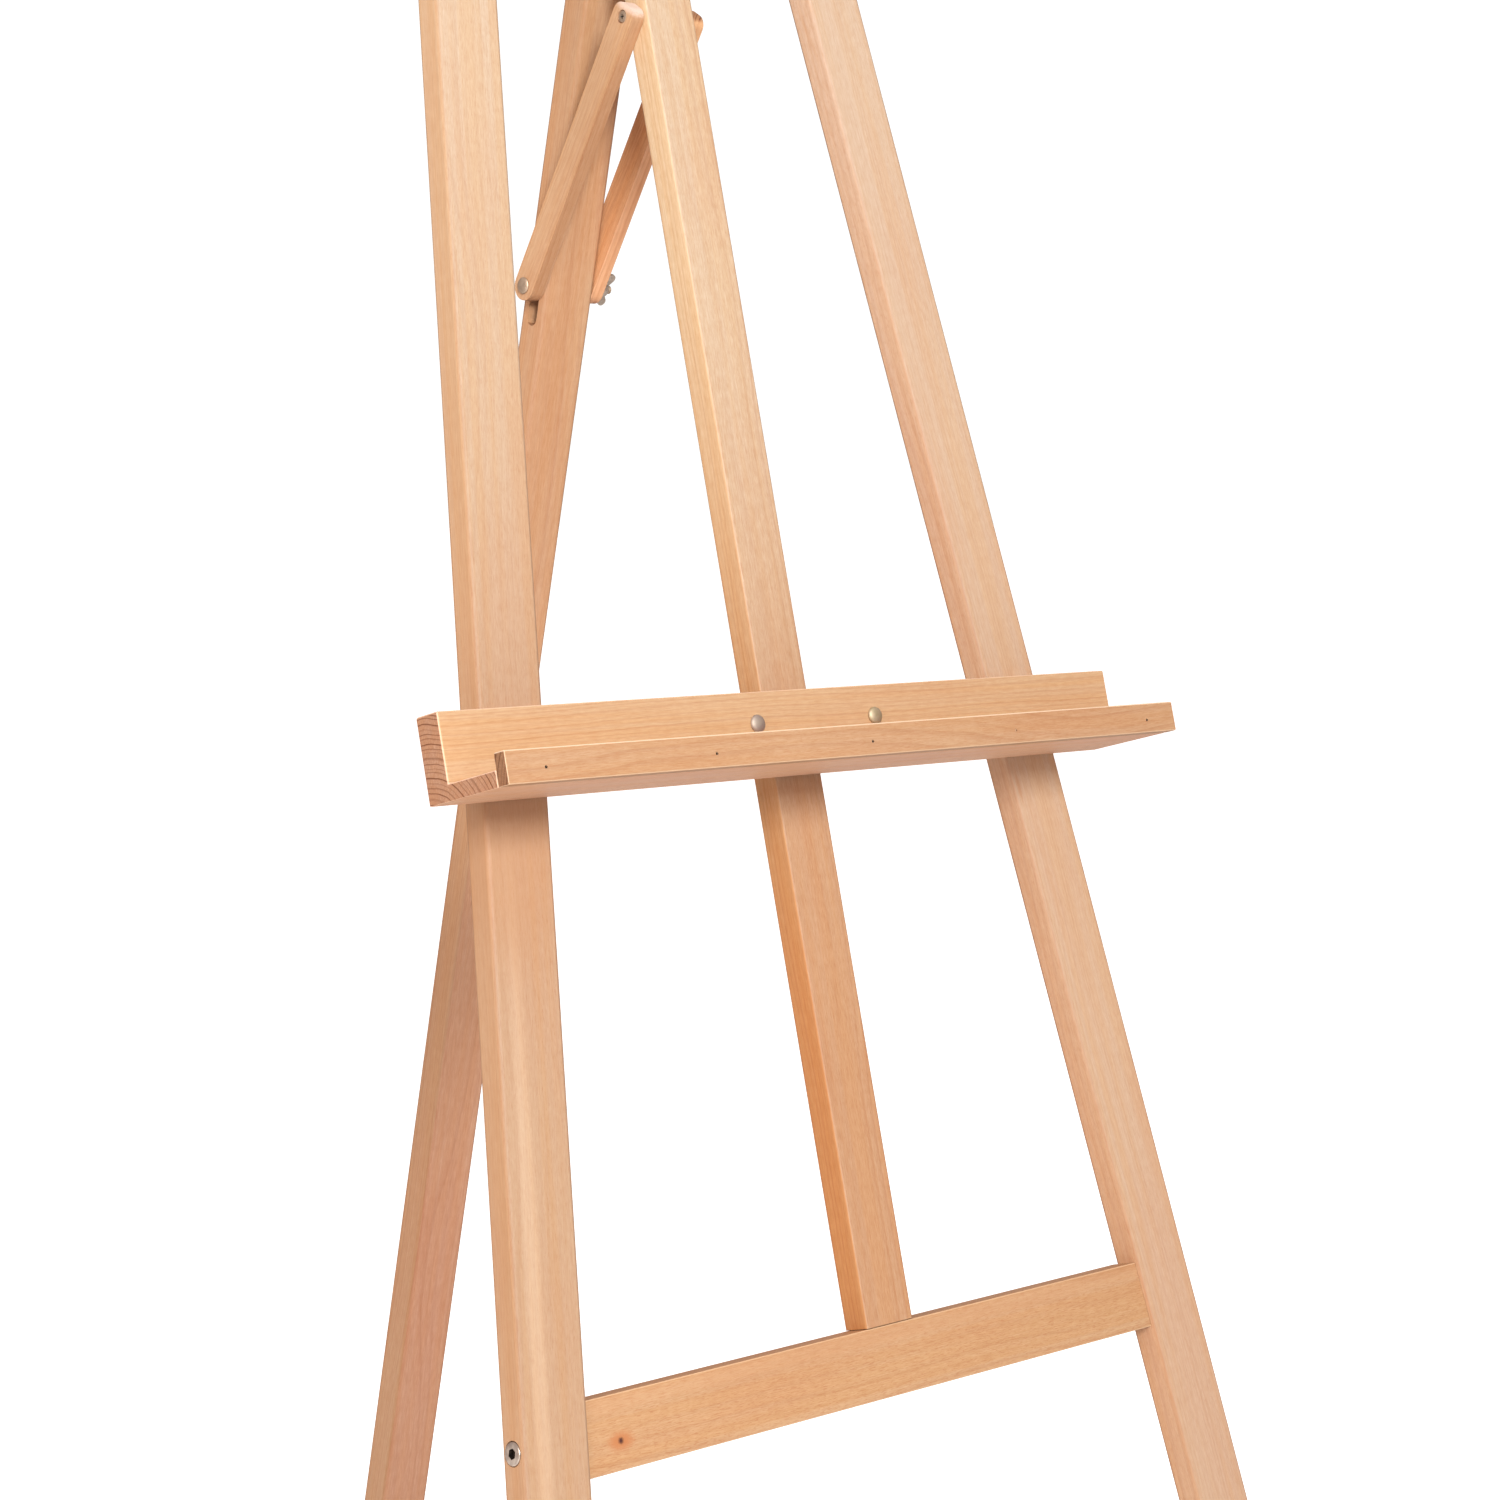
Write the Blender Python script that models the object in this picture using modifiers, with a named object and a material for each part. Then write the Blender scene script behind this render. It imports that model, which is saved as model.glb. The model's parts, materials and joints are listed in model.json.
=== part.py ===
"""Wooden artist easel: a leaning lyre frame, a folding rear leg and a sliding tray.

Metres, +Z up, +X to the viewer's right, +Y to the back.  The origin lies on the floor
in the middle of the footprint.

The front frame is flat and leans back.  The empty "frame_axes" lies on the floor line
of its front face: its X runs across, its Y runs back through the thickness, and its Z
runs up the frame.  The words "height" and "depth" below are distances in those axes.
The rear leg has its own empty on the hinge pin, and the struts on their pivot, so each
moving piece turns about its own axis.
"""
import math

import bmesh
import bpy
from mathutils import Matrix, Vector

# ---- Driving dimensions --------------------------------------------------------------
GAP = 0.0003                       # left between pieces that touch
LEAN = math.radians(13.88)         # of the front frame, back from vertical
REAR_TILT = math.radians(12.655)   # of the rear leg, forward from vertical
SPLAY = math.radians(6.98)         # of each side leg, inward from the frame's Z

STOCK = 0.020                      # planed thickness of every frame member
LEG_WIDTH = 0.047
LEG_ROUND = 0.003
LEG_FLOOR_X = 0.29805              # centre line of a side leg on the floor
LEG_TOP = 1.764                    # height of the side legs' upper ends
FOOT_WASTE = 0.060                 # stock below the floor that the foot cut removes

CENTRE_X = 0.0075                  # the mast and rear leg stand a little to the right
RECESS = 0.003                     # crossbars and mast, behind the faces of the side legs
MAST_WIDTH = 0.040
MAST_ROUND = 0.002
BAR_HEIGHT = 0.043
BAR_ROUND = 0.0012
LOWER_BAR_TOP = 0.3095             # height of the lower crossbar's top face
UPPER_BAR_TOP = 1.748

PIN_HEIGHT = 1.2173                # rear leg's hinge pin
PIN_STANDOFF = 0.005               # pin axis to the wood on each side of it
REAR_WIDTH = 0.040
REAR_THICK = 0.023
REAR_ROUND = 0.003
REAR_ABOVE_PIN = 0.004

STRUT_PIVOT_HEIGHT = 1.1419
STRUT_PIVOT_BACK = 0.003           # pivot behind the middle of the mast's depth
STRUT_REACH = 0.1919               # pivot to slot bolt
STRUT_WIDTH = 0.0195
STRUT_THICK = 0.010
STRUT_ROUND = 0.0012
STRUT_PAST_SCREW = 0.0082          # wood above the pivot screw
STRUT_CORNER = 0.0070              # corner radius of that upper end
STRUT_NUT_TURN = math.radians(4)   # where the wing nut was left
SLOT_WIDTH = 0.0095
SLOT_ABOVE = 0.0085                # slot past the bolt, towards the hinge
SLOT_BELOW = 0.0263
SCREW_HEAD_R = 0.0041              # strut's pivot screw, let in flush
SCREW_HEAD_DEEP = 0.0026
SCREW_SHANK_R = 0.0020
SCREW_LENGTH = 0.0245

TRAY_LENGTH = 0.5633
TRAY_FOOT = 0.6498                 # height of the tray's underside
TRAY_BACK_HEIGHT = 0.0511
TRAY_BACK_THICK = 0.020
TRAY_SHELF_THICK = 0.010
TRAY_DEPTH = 0.0737                # mast to the front of the lip
TRAY_ROUND = 0.0012
LIP_HEIGHT = 0.0194
LIP_THICK = 0.0095
NAIL_COUNT = 5
NAIL_PITCH = 0.127
NAIL_RISE = 0.0082                 # above the tray's underside

CLAMP_HEIGHT = 0.681               # of the two tray bolts
CLAMP_CENTRE_X = 0.0083            # the clamp sits a little to the right of the mast
CLAMP_BOLT_SPACING = 0.1006
CLAMP_LENGTH = 0.140
CLAMP_WIDTH = 0.040

BOLT_R = 0.003                     # M6 machine bolts
HOLE_R = 0.0033
TRAY_DOME = (0.0066, 0.0033)       # radius and height of a carriage bolt's mushroom head
STRUT_DOME = (0.0054, 0.0021)
DOME_RIM = 0.0006
WASHER_R = 0.0066
WASHER_THICK = 0.0014
NUT_HEIGHT = 0.0070
NUT_TOP_R = 0.0045
NUT_FOOT_R = 0.0054
WING_ROOT = (0.0028, 0.0038)       # centres of a wing's two rounded ends: out, up
WING_END = (0.0090, 0.0082)
WING_R = 0.0030
WING_THICK = 0.0020
THREAD_END = 0.0040                # bolt left standing out of its nut

CONNECTOR_HEAD_R = 0.0067
CONNECTOR_HEAD_PROUD = 0.0005
CONNECTOR_SEAT_GAP = 0.0006        # round the head, where the counterbore shows
CONNECTOR_HEAD_DEEP = 0.0020       # from the wood's face to the bottom of the head
CONNECTOR_CHAMFER = 0.0006
CONNECTOR_SOCKET_R = 0.0029
CONNECTOR_SOCKET_DEEP = 0.0030
CONNECTOR_LENGTH = 0.088
CONNECTOR_OUTER_LOWER = 0.290      # height of the head on the leg's outer face
CONNECTOR_OUTER_UPPER = 1.7325
BARREL_R = 0.005
BARREL_LENGTH = 0.017
BARREL_INSET = 0.0010              # its end below the crossbar's back face
BARREL_BACK_OFF = 0.009            # bolt left past the barrel nut's axis

LEAF_LENGTH = 0.030
LEAF_WIDTH = 0.036
LEAF_THICK = 0.0014
LEAF_CLEAR = 0.0006                # knuckle to the edge of its plate
KNUCKLES = 5
KNUCKLE_R = 0.0034
PIN_R = 0.0015
PIN_BORE_R = 0.0016

RING_STEPS = 24                    # facets round a bolt's head, a nut or a screw's head in view
HOLE_STEPS = 16                    # facets round a bore and what fills it
SMALL_STEPS = 12                   # facets round a small hidden piece
OVERRUN = 0.002                    # a cutter's length past the face it opens
TIP = 0.0008                       # chamfer on a bolt's end, flat on a screw's tip

BEECH_PALE = (0.86, 0.62, 0.42)
BEECH_WARM = (0.80, 0.53, 0.36)
ZINC = (0.62, 0.60, 0.55)
YELLOW_ZINC = (0.70, 0.66, 0.50)
NICKEL = (0.72, 0.69, 0.64)
DARK_STEEL = (0.20, 0.17, 0.15)

# ---- Dimensions that follow ----------------------------------------------------------
LEG_MID_DEPTH = STOCK / 2
MAST_BACK = RECESS + STOCK
MAST_MID_DEPTH = RECESS + STOCK / 2
STRUT_PIVOT_DEPTH = MAST_MID_DEPTH + STRUT_PIVOT_BACK
PIN_DEPTH = MAST_BACK + PIN_STANDOFF
FOLD_ANGLE = LEAN + REAR_TILT      # between the mast and the rear leg
LEG_SLOPE = math.tan(SPLAY)
STRUT_IN_X = MAST_WIDTH / 2 + GAP
STRUT_OUT_X = STRUT_IN_X + STRUT_THICK
REAR_MID_DEPTH = PIN_STANDOFF + REAR_THICK / 2


def frame_to_yz(depth, height):
    """World Y from the frame's floor line, and world Z, of a point in the frame."""
    y = height * math.sin(LEAN) + depth * math.cos(LEAN)
    z = height * math.cos(LEAN) - depth * math.sin(LEAN)
    return y, z


def footprint_depth():
    """Front edge of the side legs' feet to the back edge of the rear leg's foot."""
    pin_y, pin_z = frame_to_yz(PIN_DEPTH, PIN_HEIGHT)
    back = PIN_STANDOFF + REAR_THICK
    start_y = pin_y + back * math.cos(REAR_TILT)
    start_z = pin_z + back * math.sin(REAR_TILT)
    return start_y + start_z * math.tan(REAR_TILT)


def slot_bolt_reach():
    """Distance down the rear leg's centre line from the hinge to the slot bolt."""
    pin = Vector(frame_to_yz(PIN_DEPTH, PIN_HEIGHT))
    pivot = Vector(frame_to_yz(STRUT_PIVOT_DEPTH, STRUT_PIVOT_HEIGHT))
    down = Vector((math.sin(REAR_TILT), -math.cos(REAR_TILT)))
    back = Vector((math.cos(REAR_TILT), math.sin(REAR_TILT)))
    start = pin + back * REAR_MID_DEPTH - pivot
    half = start.dot(down)
    return -half + math.sqrt(half * half - start.length_squared + STRUT_REACH ** 2)


def strut_angle():
    """Angle of the struts from vertical, swung back, with the bolt in the slot."""
    pin = Vector(frame_to_yz(PIN_DEPTH, PIN_HEIGHT))
    pivot = Vector(frame_to_yz(STRUT_PIVOT_DEPTH, STRUT_PIVOT_HEIGHT))
    down = Vector((math.sin(REAR_TILT), -math.cos(REAR_TILT)))
    back = Vector((math.cos(REAR_TILT), math.sin(REAR_TILT)))
    bolt = pin + back * REAR_MID_DEPTH + down * slot_bolt_reach() - pivot
    return math.atan2(bolt.x, -bolt.y)


FRAME_Y = -footprint_depth() / 2
REAR_LENGTH = frame_to_yz(PIN_DEPTH, PIN_HEIGHT)[1] / math.cos(REAR_TILT)


# ---- Scene ---------------------------------------------------------------------------
def clear_scene():
    for old in list(bpy.data.objects):
        bpy.data.objects.remove(old, do_unlink=True)


def new_collection(name):
    made = bpy.data.collections.new(name)
    bpy.context.scene.collection.children.link(made)
    return made


clear_scene()
PARTS = new_collection("artist_easel")
CUTTERS = new_collection("cutters")


def empty(name, parent, location, rotation=(0.0, 0.0, 0.0)):
    obj = bpy.data.objects.new(name, None)
    obj.empty_display_size = 0.05
    obj.parent = parent
    obj.location = location
    obj.rotation_euler = rotation
    PARTS.objects.link(obj)
    return obj


def material(name, colour, roughness, metallic):
    made = bpy.data.materials.new(name)
    made.use_nodes = True
    shader = made.node_tree.nodes["Principled BSDF"]
    shader.inputs["Base Color"].default_value = (*colour, 1.0)
    shader.inputs["Roughness"].default_value = roughness
    shader.inputs["Metallic"].default_value = metallic
    return made


def place(obj, parent, location, rotation):
    obj.parent = parent
    obj.location = location
    obj.rotation_euler = rotation
    return obj


def as_wood(obj, colour):
    obj.data.materials.append(material(obj.name, colour, 0.45, 0.0))
    PARTS.objects.link(obj)
    return obj


def as_metal(obj, colour, roughness=0.35):
    obj.data.materials.append(material(obj.name, colour, roughness, 1.0))
    PARTS.objects.link(obj)
    return obj


def as_cutter(obj):
    obj.hide_render = True
    obj.display_type = 'WIRE'
    CUTTERS.objects.link(obj)
    return obj


# ---- Shape makers --------------------------------------------------------------------
def box_object(name, low, high):
    """A box between two corners, as a new object with its mesh in local axes."""
    bm = bmesh.new()
    bmesh.ops.create_cube(bm, size=1.0)
    size = Vector(high) - Vector(low)
    centre = (Vector(high) + Vector(low)) / 2
    bmesh.ops.scale(bm, vec=size, verts=bm.verts)
    bmesh.ops.translate(bm, vec=centre, verts=bm.verts)
    mesh = bpy.data.meshes.new(name)
    bm.to_mesh(mesh)
    bm.free()
    return bpy.data.objects.new(name, mesh)


def cylinder_object(name, radius, start, end, radius_end=None, steps=HOLE_STEPS):
    """A cylinder or cone between two points, in local axes."""
    start = Vector(start)
    span = Vector(end) - start
    bm = bmesh.new()
    bmesh.ops.create_cone(
        bm, cap_ends=True, segments=steps, radius1=radius,
        radius2=radius if radius_end is None else radius_end, depth=span.length)
    bmesh.ops.translate(bm, vec=(0, 0, span.length / 2), verts=bm.verts)
    turn = Vector((0, 0, 1)).rotation_difference(span)
    matrix = Matrix.Translation(start) @ turn.to_matrix().to_4x4()
    bmesh.ops.transform(bm, matrix=matrix, verts=bm.verts)
    mesh = bpy.data.meshes.new(name)
    bm.to_mesh(mesh)
    bm.free()
    return bpy.data.objects.new(name, mesh)


def turned_object(name, profile, steps=RING_STEPS):
    """A solid turned about local Z from (radius, z) points that run top to bottom."""
    bm = bmesh.new()
    verts = [bm.verts.new((r, 0.0, z)) for r, z in profile]
    for a, b in zip(verts, verts[1:]):
        bm.edges.new((a, b))
    mesh = bpy.data.meshes.new(name)
    bm.to_mesh(mesh)
    bm.free()
    obj = bpy.data.objects.new(name, mesh)
    screw = obj.modifiers.new("turn", 'SCREW')
    screw.axis = 'Z'
    screw.steps = steps
    screw.render_steps = steps
    screw.use_merge_vertices = True
    screw.merge_threshold = 0.00001
    screw.use_smooth_shade = False
    return obj


def outline_object(name, points, thickness):
    """A flat outline in local XY, thickened evenly about its plane, as a mesh."""
    curve = bpy.data.curves.new(name, 'CURVE')
    curve.dimensions = '2D'
    curve.fill_mode = 'BOTH'
    curve.extrude = thickness / 2
    spline = curve.splines.new('POLY')
    spline.points.add(len(points) - 1)
    for slot, (x, y) in zip(spline.points, points):
        slot.co = (x, y, 0.0, 1.0)
    spline.use_cyclic_u = True
    holder = bpy.data.objects.new(name + "_curve", curve)
    CUTTERS.objects.link(holder)
    graph = bpy.context.evaluated_depsgraph_get()
    mesh = bpy.data.meshes.new_from_object(holder.evaluated_get(graph))
    mesh.name = name
    bm = bmesh.new()
    bm.from_mesh(mesh)
    bmesh.ops.remove_doubles(bm, verts=bm.verts, dist=0.00001)
    bmesh.ops.recalc_face_normals(bm, faces=bm.faces)
    bm.to_mesh(mesh)
    bm.free()
    bpy.data.objects.remove(holder, do_unlink=True)
    return bpy.data.objects.new(name, mesh)


def stadium(start, end, radius, steps=8):
    """Outline points of a slot shape: two half circles joined by straight sides."""
    start = Vector(start)
    end = Vector(end)
    heading = math.atan2(end.y - start.y, end.x - start.x)
    points = []
    for centre, turn in ((start, math.pi / 2), (end, -math.pi / 2)):
        for i in range(steps + 1):
            a = heading + turn + math.pi * i / steps
            points.append((centre.x + radius * math.cos(a), centre.y + radius * math.sin(a)))
    return points


def round_edges(obj, width, segments=3):
    """Round every edge that is sharper than 30 degrees."""
    bevel = obj.modifiers.new("round", 'BEVEL')
    bevel.width = width
    bevel.segments = segments
    bevel.limit_method = 'ANGLE'
    bevel.angle_limit = math.radians(30)
    bevel.harden_normals = False
    return obj


def round_long_edges(obj, width, axis, end_share=0.0, segments=4):
    """Round the edges that run along one local axis, and the end edges by a share."""
    bm = bmesh.new()
    bm.from_mesh(obj.data)
    layer = bm.edges.layers.float.new("bevel_weight_edge")
    for edge in bm.edges:
        along = (edge.verts[0].co - edge.verts[1].co).normalized()
        edge[layer] = 1.0 if abs(along[axis]) > 0.9 else end_share
    bm.to_mesh(obj.data)
    bm.free()
    bevel = obj.modifiers.new("round", 'BEVEL')
    bevel.width = width
    bevel.segments = segments
    bevel.limit_method = 'WEIGHT'
    return obj


def combine(obj, other, operation):
    boolean = obj.modifiers.new(other.name, 'BOOLEAN')
    boolean.operation = operation
    boolean.solver = 'EXACT'
    boolean.object = other
    return obj


def cut(obj, cutter):
    return combine(obj, cutter, 'DIFFERENCE')


def drill(obj, name, radius, start, end, parent, rotation=(0.0, 0.0, 0.0), origin=(0, 0, 0)):
    """Bore a round hole from start to end, both in the parent's axes."""
    cutter = as_cutter(cylinder_object("cut_" + name, radius, start, end))
    place(cutter, parent, origin, rotation)
    return cut(obj, cutter)


# ---- Frame axes ----------------------------------------------------------------------
FRAME = empty("frame_axes", None, (0.0, FRAME_Y, 0.0), (-LEAN, 0.0, 0.0))
HINGE = empty("rear_leg_axes", FRAME, (CENTRE_X, PIN_DEPTH, PIN_HEIGHT), (FOLD_ANGLE, 0.0, 0.0))
STRUTS = empty("strut_axes", FRAME, (CENTRE_X, STRUT_PIVOT_DEPTH, STRUT_PIVOT_HEIGHT),
               (LEAN + strut_angle(), 0.0, 0.0))
STRUT_FIXED = empty("strut_pivot_axes", FRAME, (CENTRE_X, STRUT_PIVOT_DEPTH, STRUT_PIVOT_HEIGHT))
MAST_LEAF = empty("mast_leaf_axes", FRAME, (CENTRE_X, PIN_DEPTH, PIN_HEIGHT))
LEG_AXES = {
    side: empty(f"{side}_leg_axes", FRAME, (sign * LEG_FLOOR_X, 0.0, 0.0), (0.0, -sign * SPLAY, 0.0))
    for side, sign in (("left", -1), ("right", 1))
}
CROSSWAYS = (math.pi / 2, 0.0, math.pi / 2)   # turns an outline's thickness to run along X
FLOOR_CUTTER = as_cutter(box_object("cut_floor", (-0.6, -0.6, -0.2), (0.6, 0.6, 0.0)))


# ---- Side legs and crossbars ---------------------------------------------------------
def side_leg(side):
    axes = LEG_AXES[side]
    leg = box_object(f"{side}_leg", (-LEG_WIDTH / 2, 0.0, -FOOT_WASTE),
                     (LEG_WIDTH / 2, STOCK, LEG_TOP / math.cos(SPLAY)))
    place(leg, axes, (0, 0, 0), (0, 0, 0))
    round_long_edges(leg, LEG_ROUND, 2, end_share=0.5, segments=4)
    as_wood(leg, BEECH_PALE)
    cut(leg, FLOOR_CUTTER)
    return leg


def inner_face_x(height):
    """Half the clear width between the side legs at a height."""
    centre = LEG_FLOOR_X - LEG_SLOPE * height
    return centre - LEG_WIDTH / 2 / math.cos(SPLAY)


def crossbar(name, top):
    """A bar whose ends are cut to the splay of the legs."""
    bottom = top - BAR_HEIGHT
    bar = box_object(name, (-1, RECESS, bottom), (1, MAST_BACK, top))
    clearance = GAP / math.cos(SPLAY)
    for vert in bar.data.vertices:
        half = inner_face_x(vert.co.z) - clearance
        vert.co.x = math.copysign(half, vert.co.x)
    place(bar, FRAME, (0, 0, 0), (0, 0, 0))
    round_long_edges(bar, BAR_ROUND, 0)
    return as_wood(bar, BEECH_PALE)


def connector_profile():
    """Flat furniture bolt head with a chamfered rim, then the shank, from the top."""
    top = CONNECTOR_HEAD_PROUD
    radius = CONNECTOR_HEAD_R
    return [(0.0, top), (radius - CONNECTOR_CHAMFER, top), (radius, top - CONNECTOR_CHAMFER),
            (radius, -CONNECTOR_HEAD_DEEP * 0.4), (BOLT_R, -CONNECTOR_HEAD_DEEP),
            (BOLT_R, -CONNECTOR_LENGTH + TIP), (BOLT_R - TIP, -CONNECTOR_LENGTH),
            (0.0, -CONNECTOR_LENGTH)]


def connector_joint(level, side, leg, bar, outer_height):
    """A bolt through the leg into a barrel nut in the crossbar's end."""
    sign = 1 if side == "right" else -1
    axes = LEG_AXES[side]
    head_z = (outer_height - LEG_WIDTH / 2 * math.sin(SPLAY)) / math.cos(SPLAY)
    head = (sign * LEG_WIDTH / 2, LEG_MID_DEPTH, head_z)
    outward = (0.0, sign * math.pi / 2, 0.0)
    label = f"{level}_{side}"

    seat = cylinder_object("cut_seat_" + label, CONNECTOR_HEAD_R + CONNECTOR_SEAT_GAP,
                           (0, 0, -CONNECTOR_HEAD_DEEP - GAP), (0, 0, OVERRUN), steps=RING_STEPS)
    place(seat, axes, head, outward)
    cut(leg, as_cutter(seat))
    hole = cylinder_object("cut_bolt_" + label, HOLE_R, (0, 0, OVERRUN),
                           (0, 0, -CONNECTOR_LENGTH - OVERRUN))
    place(hole, axes, head, outward)
    as_cutter(hole)
    cut(leg, hole)
    cut(bar, hole)

    bolt = turned_object(f"leg_bolt_{label}", connector_profile())
    place(bolt, axes, head, outward)
    as_metal(bolt, NICKEL, 0.25)
    top = CONNECTOR_HEAD_PROUD
    socket = cylinder_object("cut_hex_" + label, CONNECTOR_SOCKET_R,
                             (0, 0, top - CONNECTOR_SOCKET_DEEP), (0, 0, top + OVERRUN), steps=6)
    place(socket, axes, head, outward)
    cut(bolt, as_cutter(socket))

    nut_z = -CONNECTOR_LENGTH + BARREL_BACK_OFF
    nut_at = (head[0] + sign * nut_z, 0.0, head[2])
    back = MAST_BACK - BARREL_INSET
    pocket = cylinder_object("cut_barrel_" + label, BARREL_R + GAP,
                             (0, back - BARREL_LENGTH - GAP, 0), (0, MAST_BACK + OVERRUN, 0),
                             steps=RING_STEPS)
    place(pocket, axes, nut_at, (0, 0, 0))
    cut(bar, as_cutter(pocket))
    nut = cylinder_object(f"barrel_nut_{label}", BARREL_R, (0, back - BARREL_LENGTH, 0), (0, back, 0))
    place(nut, axes, nut_at, (0, 0, 0))
    as_metal(nut, ZINC)
    cut(nut, hole)


# ---- Mast ----------------------------------------------------------------------------
def mast_piece():
    low = LOWER_BAR_TOP + GAP
    high = UPPER_BAR_TOP - BAR_HEIGHT - GAP
    mast = box_object("mast", (-MAST_WIDTH / 2, RECESS, low), (MAST_WIDTH / 2, MAST_BACK, high))
    place(mast, FRAME, (CENTRE_X, 0, 0), (0, 0, 0))
    round_long_edges(mast, MAST_ROUND, 2, end_share=0.2)
    return as_wood(mast, BEECH_PALE)


def wood_screw_profile(head_r, head_height, shank_r, length):
    """Countersunk wood screw, its head's top at z = 0 and its tip down."""
    return [(0.0, 0.0), (head_r, 0.0), (shank_r, -head_height), (shank_r, -length * 0.85),
            (TIP / 2, -length), (0.0, -length)]


def countersink_cutter(label, head_r, head_height, shank_r, depth, parent, location, rotation):
    """A countersunk hole for a wood screw, as one turned cutter."""
    bore_r = shank_r + GAP
    mouth_r = head_r + GAP
    cutter = turned_object("cut_screw_" + label,
                           [(0.0, OVERRUN), (mouth_r, OVERRUN), (mouth_r, -GAP),
                            (bore_r, -head_height - GAP), (bore_r, -depth), (0.0, -depth)],
                           SMALL_STEPS)
    place(cutter, parent, location, rotation)
    return as_cutter(cutter)


def cross_drive(screw, label, arm, depth, parent, location, rotation):
    """Sink a cross recess into a screw's head."""
    slot = 0.0006
    for index, (x, y) in enumerate(((arm, slot), (slot, arm))):
        blade = box_object(f"cut_drive{index}_{label}", (-x, -y, -depth), (x, y, OVERRUN))
        place(blade, parent, location, rotation)
        cut(screw, as_cutter(blade))


def mast_screw(label, height, rotation, bar, mast):
    """A long screw through a crossbar into the end grain of the mast."""
    head_r, head_height, shank_r, length = 0.0045, 0.0030, 0.0022, 0.075
    where = (CENTRE_X, MAST_MID_DEPTH, height)
    hole = countersink_cutter("mast_" + label, head_r, head_height, shank_r, length + OVERRUN,
                              FRAME, where, rotation)
    cut(bar, hole)
    cut(mast, hole)
    screw = turned_object(f"mast_screw_{label}",
                          wood_screw_profile(head_r, head_height, shank_r, length), SMALL_STEPS)
    place(screw, FRAME, where, rotation)
    as_metal(screw, ZINC)
    cross_drive(screw, "mast_" + label, 0.0022, 0.0018, FRAME, where, rotation)


# ---- Rear leg and its hinge ----------------------------------------------------------
def rear_leg_piece():
    """The rear leg in the hinge's axes: its front face stands off the pin axis."""
    front = PIN_STANDOFF
    leg = box_object("rear_leg", (-REAR_WIDTH / 2, front, -REAR_LENGTH - FOOT_WASTE),
                     (REAR_WIDTH / 2, front + REAR_THICK, REAR_ABOVE_PIN))
    place(leg, HINGE, (0, 0, 0), (0, 0, 0))
    round_long_edges(leg, REAR_ROUND, 2, end_share=0.5)
    as_wood(leg, BEECH_WARM)
    cut(leg, FLOOR_CUTTER)
    reach = slot_bolt_reach()
    end_inset = SLOT_WIDTH / 2
    slot = outline_object(
        "cut_slot",
        stadium((REAR_MID_DEPTH, -reach + SLOT_ABOVE - end_inset),
                (REAR_MID_DEPTH, -reach - SLOT_BELOW + end_inset), end_inset),
        REAR_WIDTH + 2 * OVERRUN)
    place(slot, HINGE, (0, 0, 0), CROSSWAYS)
    cut(leg, as_cutter(slot))
    return leg


def knuckle_span(index):
    pitch = LEAF_WIDTH / KNUCKLES
    low = -LEAF_WIDTH / 2 + index * pitch + GAP / 2
    return low, low + pitch - GAP


def hinge_leaf(name, side, owned, parent, screws):
    """One leaf: a plate off the pin axis (side +1 or -1 in Y) and its knuckles."""
    outer = PIN_STANDOFF - GAP
    inner = outer - LEAF_THICK
    near = sorted((side * inner, side * outer))
    half = LEAF_WIDTH / 2
    top = -KNUCKLE_R - LEAF_CLEAR
    leaf = box_object(name, (-half, near[0], -LEAF_LENGTH), (half, near[1], top))
    place(leaf, parent, (0, 0, 0), (0, 0, 0))
    as_metal(leaf, ZINC)
    for index in owned:
        low, high = knuckle_span(index)
        web = box_object(f"cut_{name}_web{index}", (low, near[0], top - LEAF_CLEAR),
                         (high, near[1], 0.0))
        barrel = cylinder_object(f"cut_{name}_barrel{index}", KNUCKLE_R, (low, 0, 0), (high, 0, 0))
        for joined in (web, barrel):
            place(joined, parent, (0, 0, 0), (0, 0, 0))
            combine(leaf, as_cutter(joined), 'UNION')
    bore = cylinder_object(f"cut_{name}_bore", PIN_BORE_R, (-half - OVERRUN, 0, 0),
                           (half + OVERRUN, 0, 0))
    place(bore, parent, (0, 0, 0), (0, 0, 0))
    cut(leaf, as_cutter(bore))
    for index, (x, z) in enumerate(screws):
        hinge_screw(name, index + 1, leaf, side, x, z, inner, parent)
    return leaf


def hinge_screw(name, index, leaf, side, x, z, inner, parent):
    """A small countersunk screw through a leaf into the wood behind it."""
    head_r, head_height, shank_r, length = 0.0030, 0.0012, 0.0014, 0.0135
    wood = WOOD_BEHIND[name]
    where = (x, side * inner, z)
    rotation = (side * math.pi / 2, 0.0, 0.0)
    label = f"{name}_{index}"
    hole = countersink_cutter(label, head_r, head_height, shank_r, length + GAP,
                              parent, where, rotation)
    cut(leaf, hole)
    cut(wood, hole)
    screw = turned_object(name.replace("leaf", "screw") + f"_{index}",
                          wood_screw_profile(head_r, head_height, shank_r, length), SMALL_STEPS)
    place(screw, parent, where, rotation)
    as_metal(screw, ZINC)


def hinge_pin():
    half = LEAF_WIDTH / 2 + 2 * GAP
    pin = cylinder_object("hinge_pin", PIN_R, (-half, 0, 0), (half, 0, 0))
    place(pin, HINGE, (0, 0, 0), (0, 0, 0))
    return as_metal(pin, ZINC)


# ---- Bolts, washers and wing nuts ----------------------------------------------------
def carriage_profile(length, head):
    """Mushroom head above z = 0 and a plain shank below it, from the top down."""
    radius, crown = head
    dome = [(0.0, crown)]
    for tenth in range(2, 10, 2):
        a = math.pi / 2 * (1 - tenth / 10)
        dome.append((radius * math.cos(a), DOME_RIM + (crown - DOME_RIM) * math.sin(a)))
    return dome + [(radius, DOME_RIM), (radius, 0.0), (BOLT_R, 0.0), (BOLT_R, -length + TIP),
                   (BOLT_R - TIP, -length), (0.0, -length)]


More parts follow.
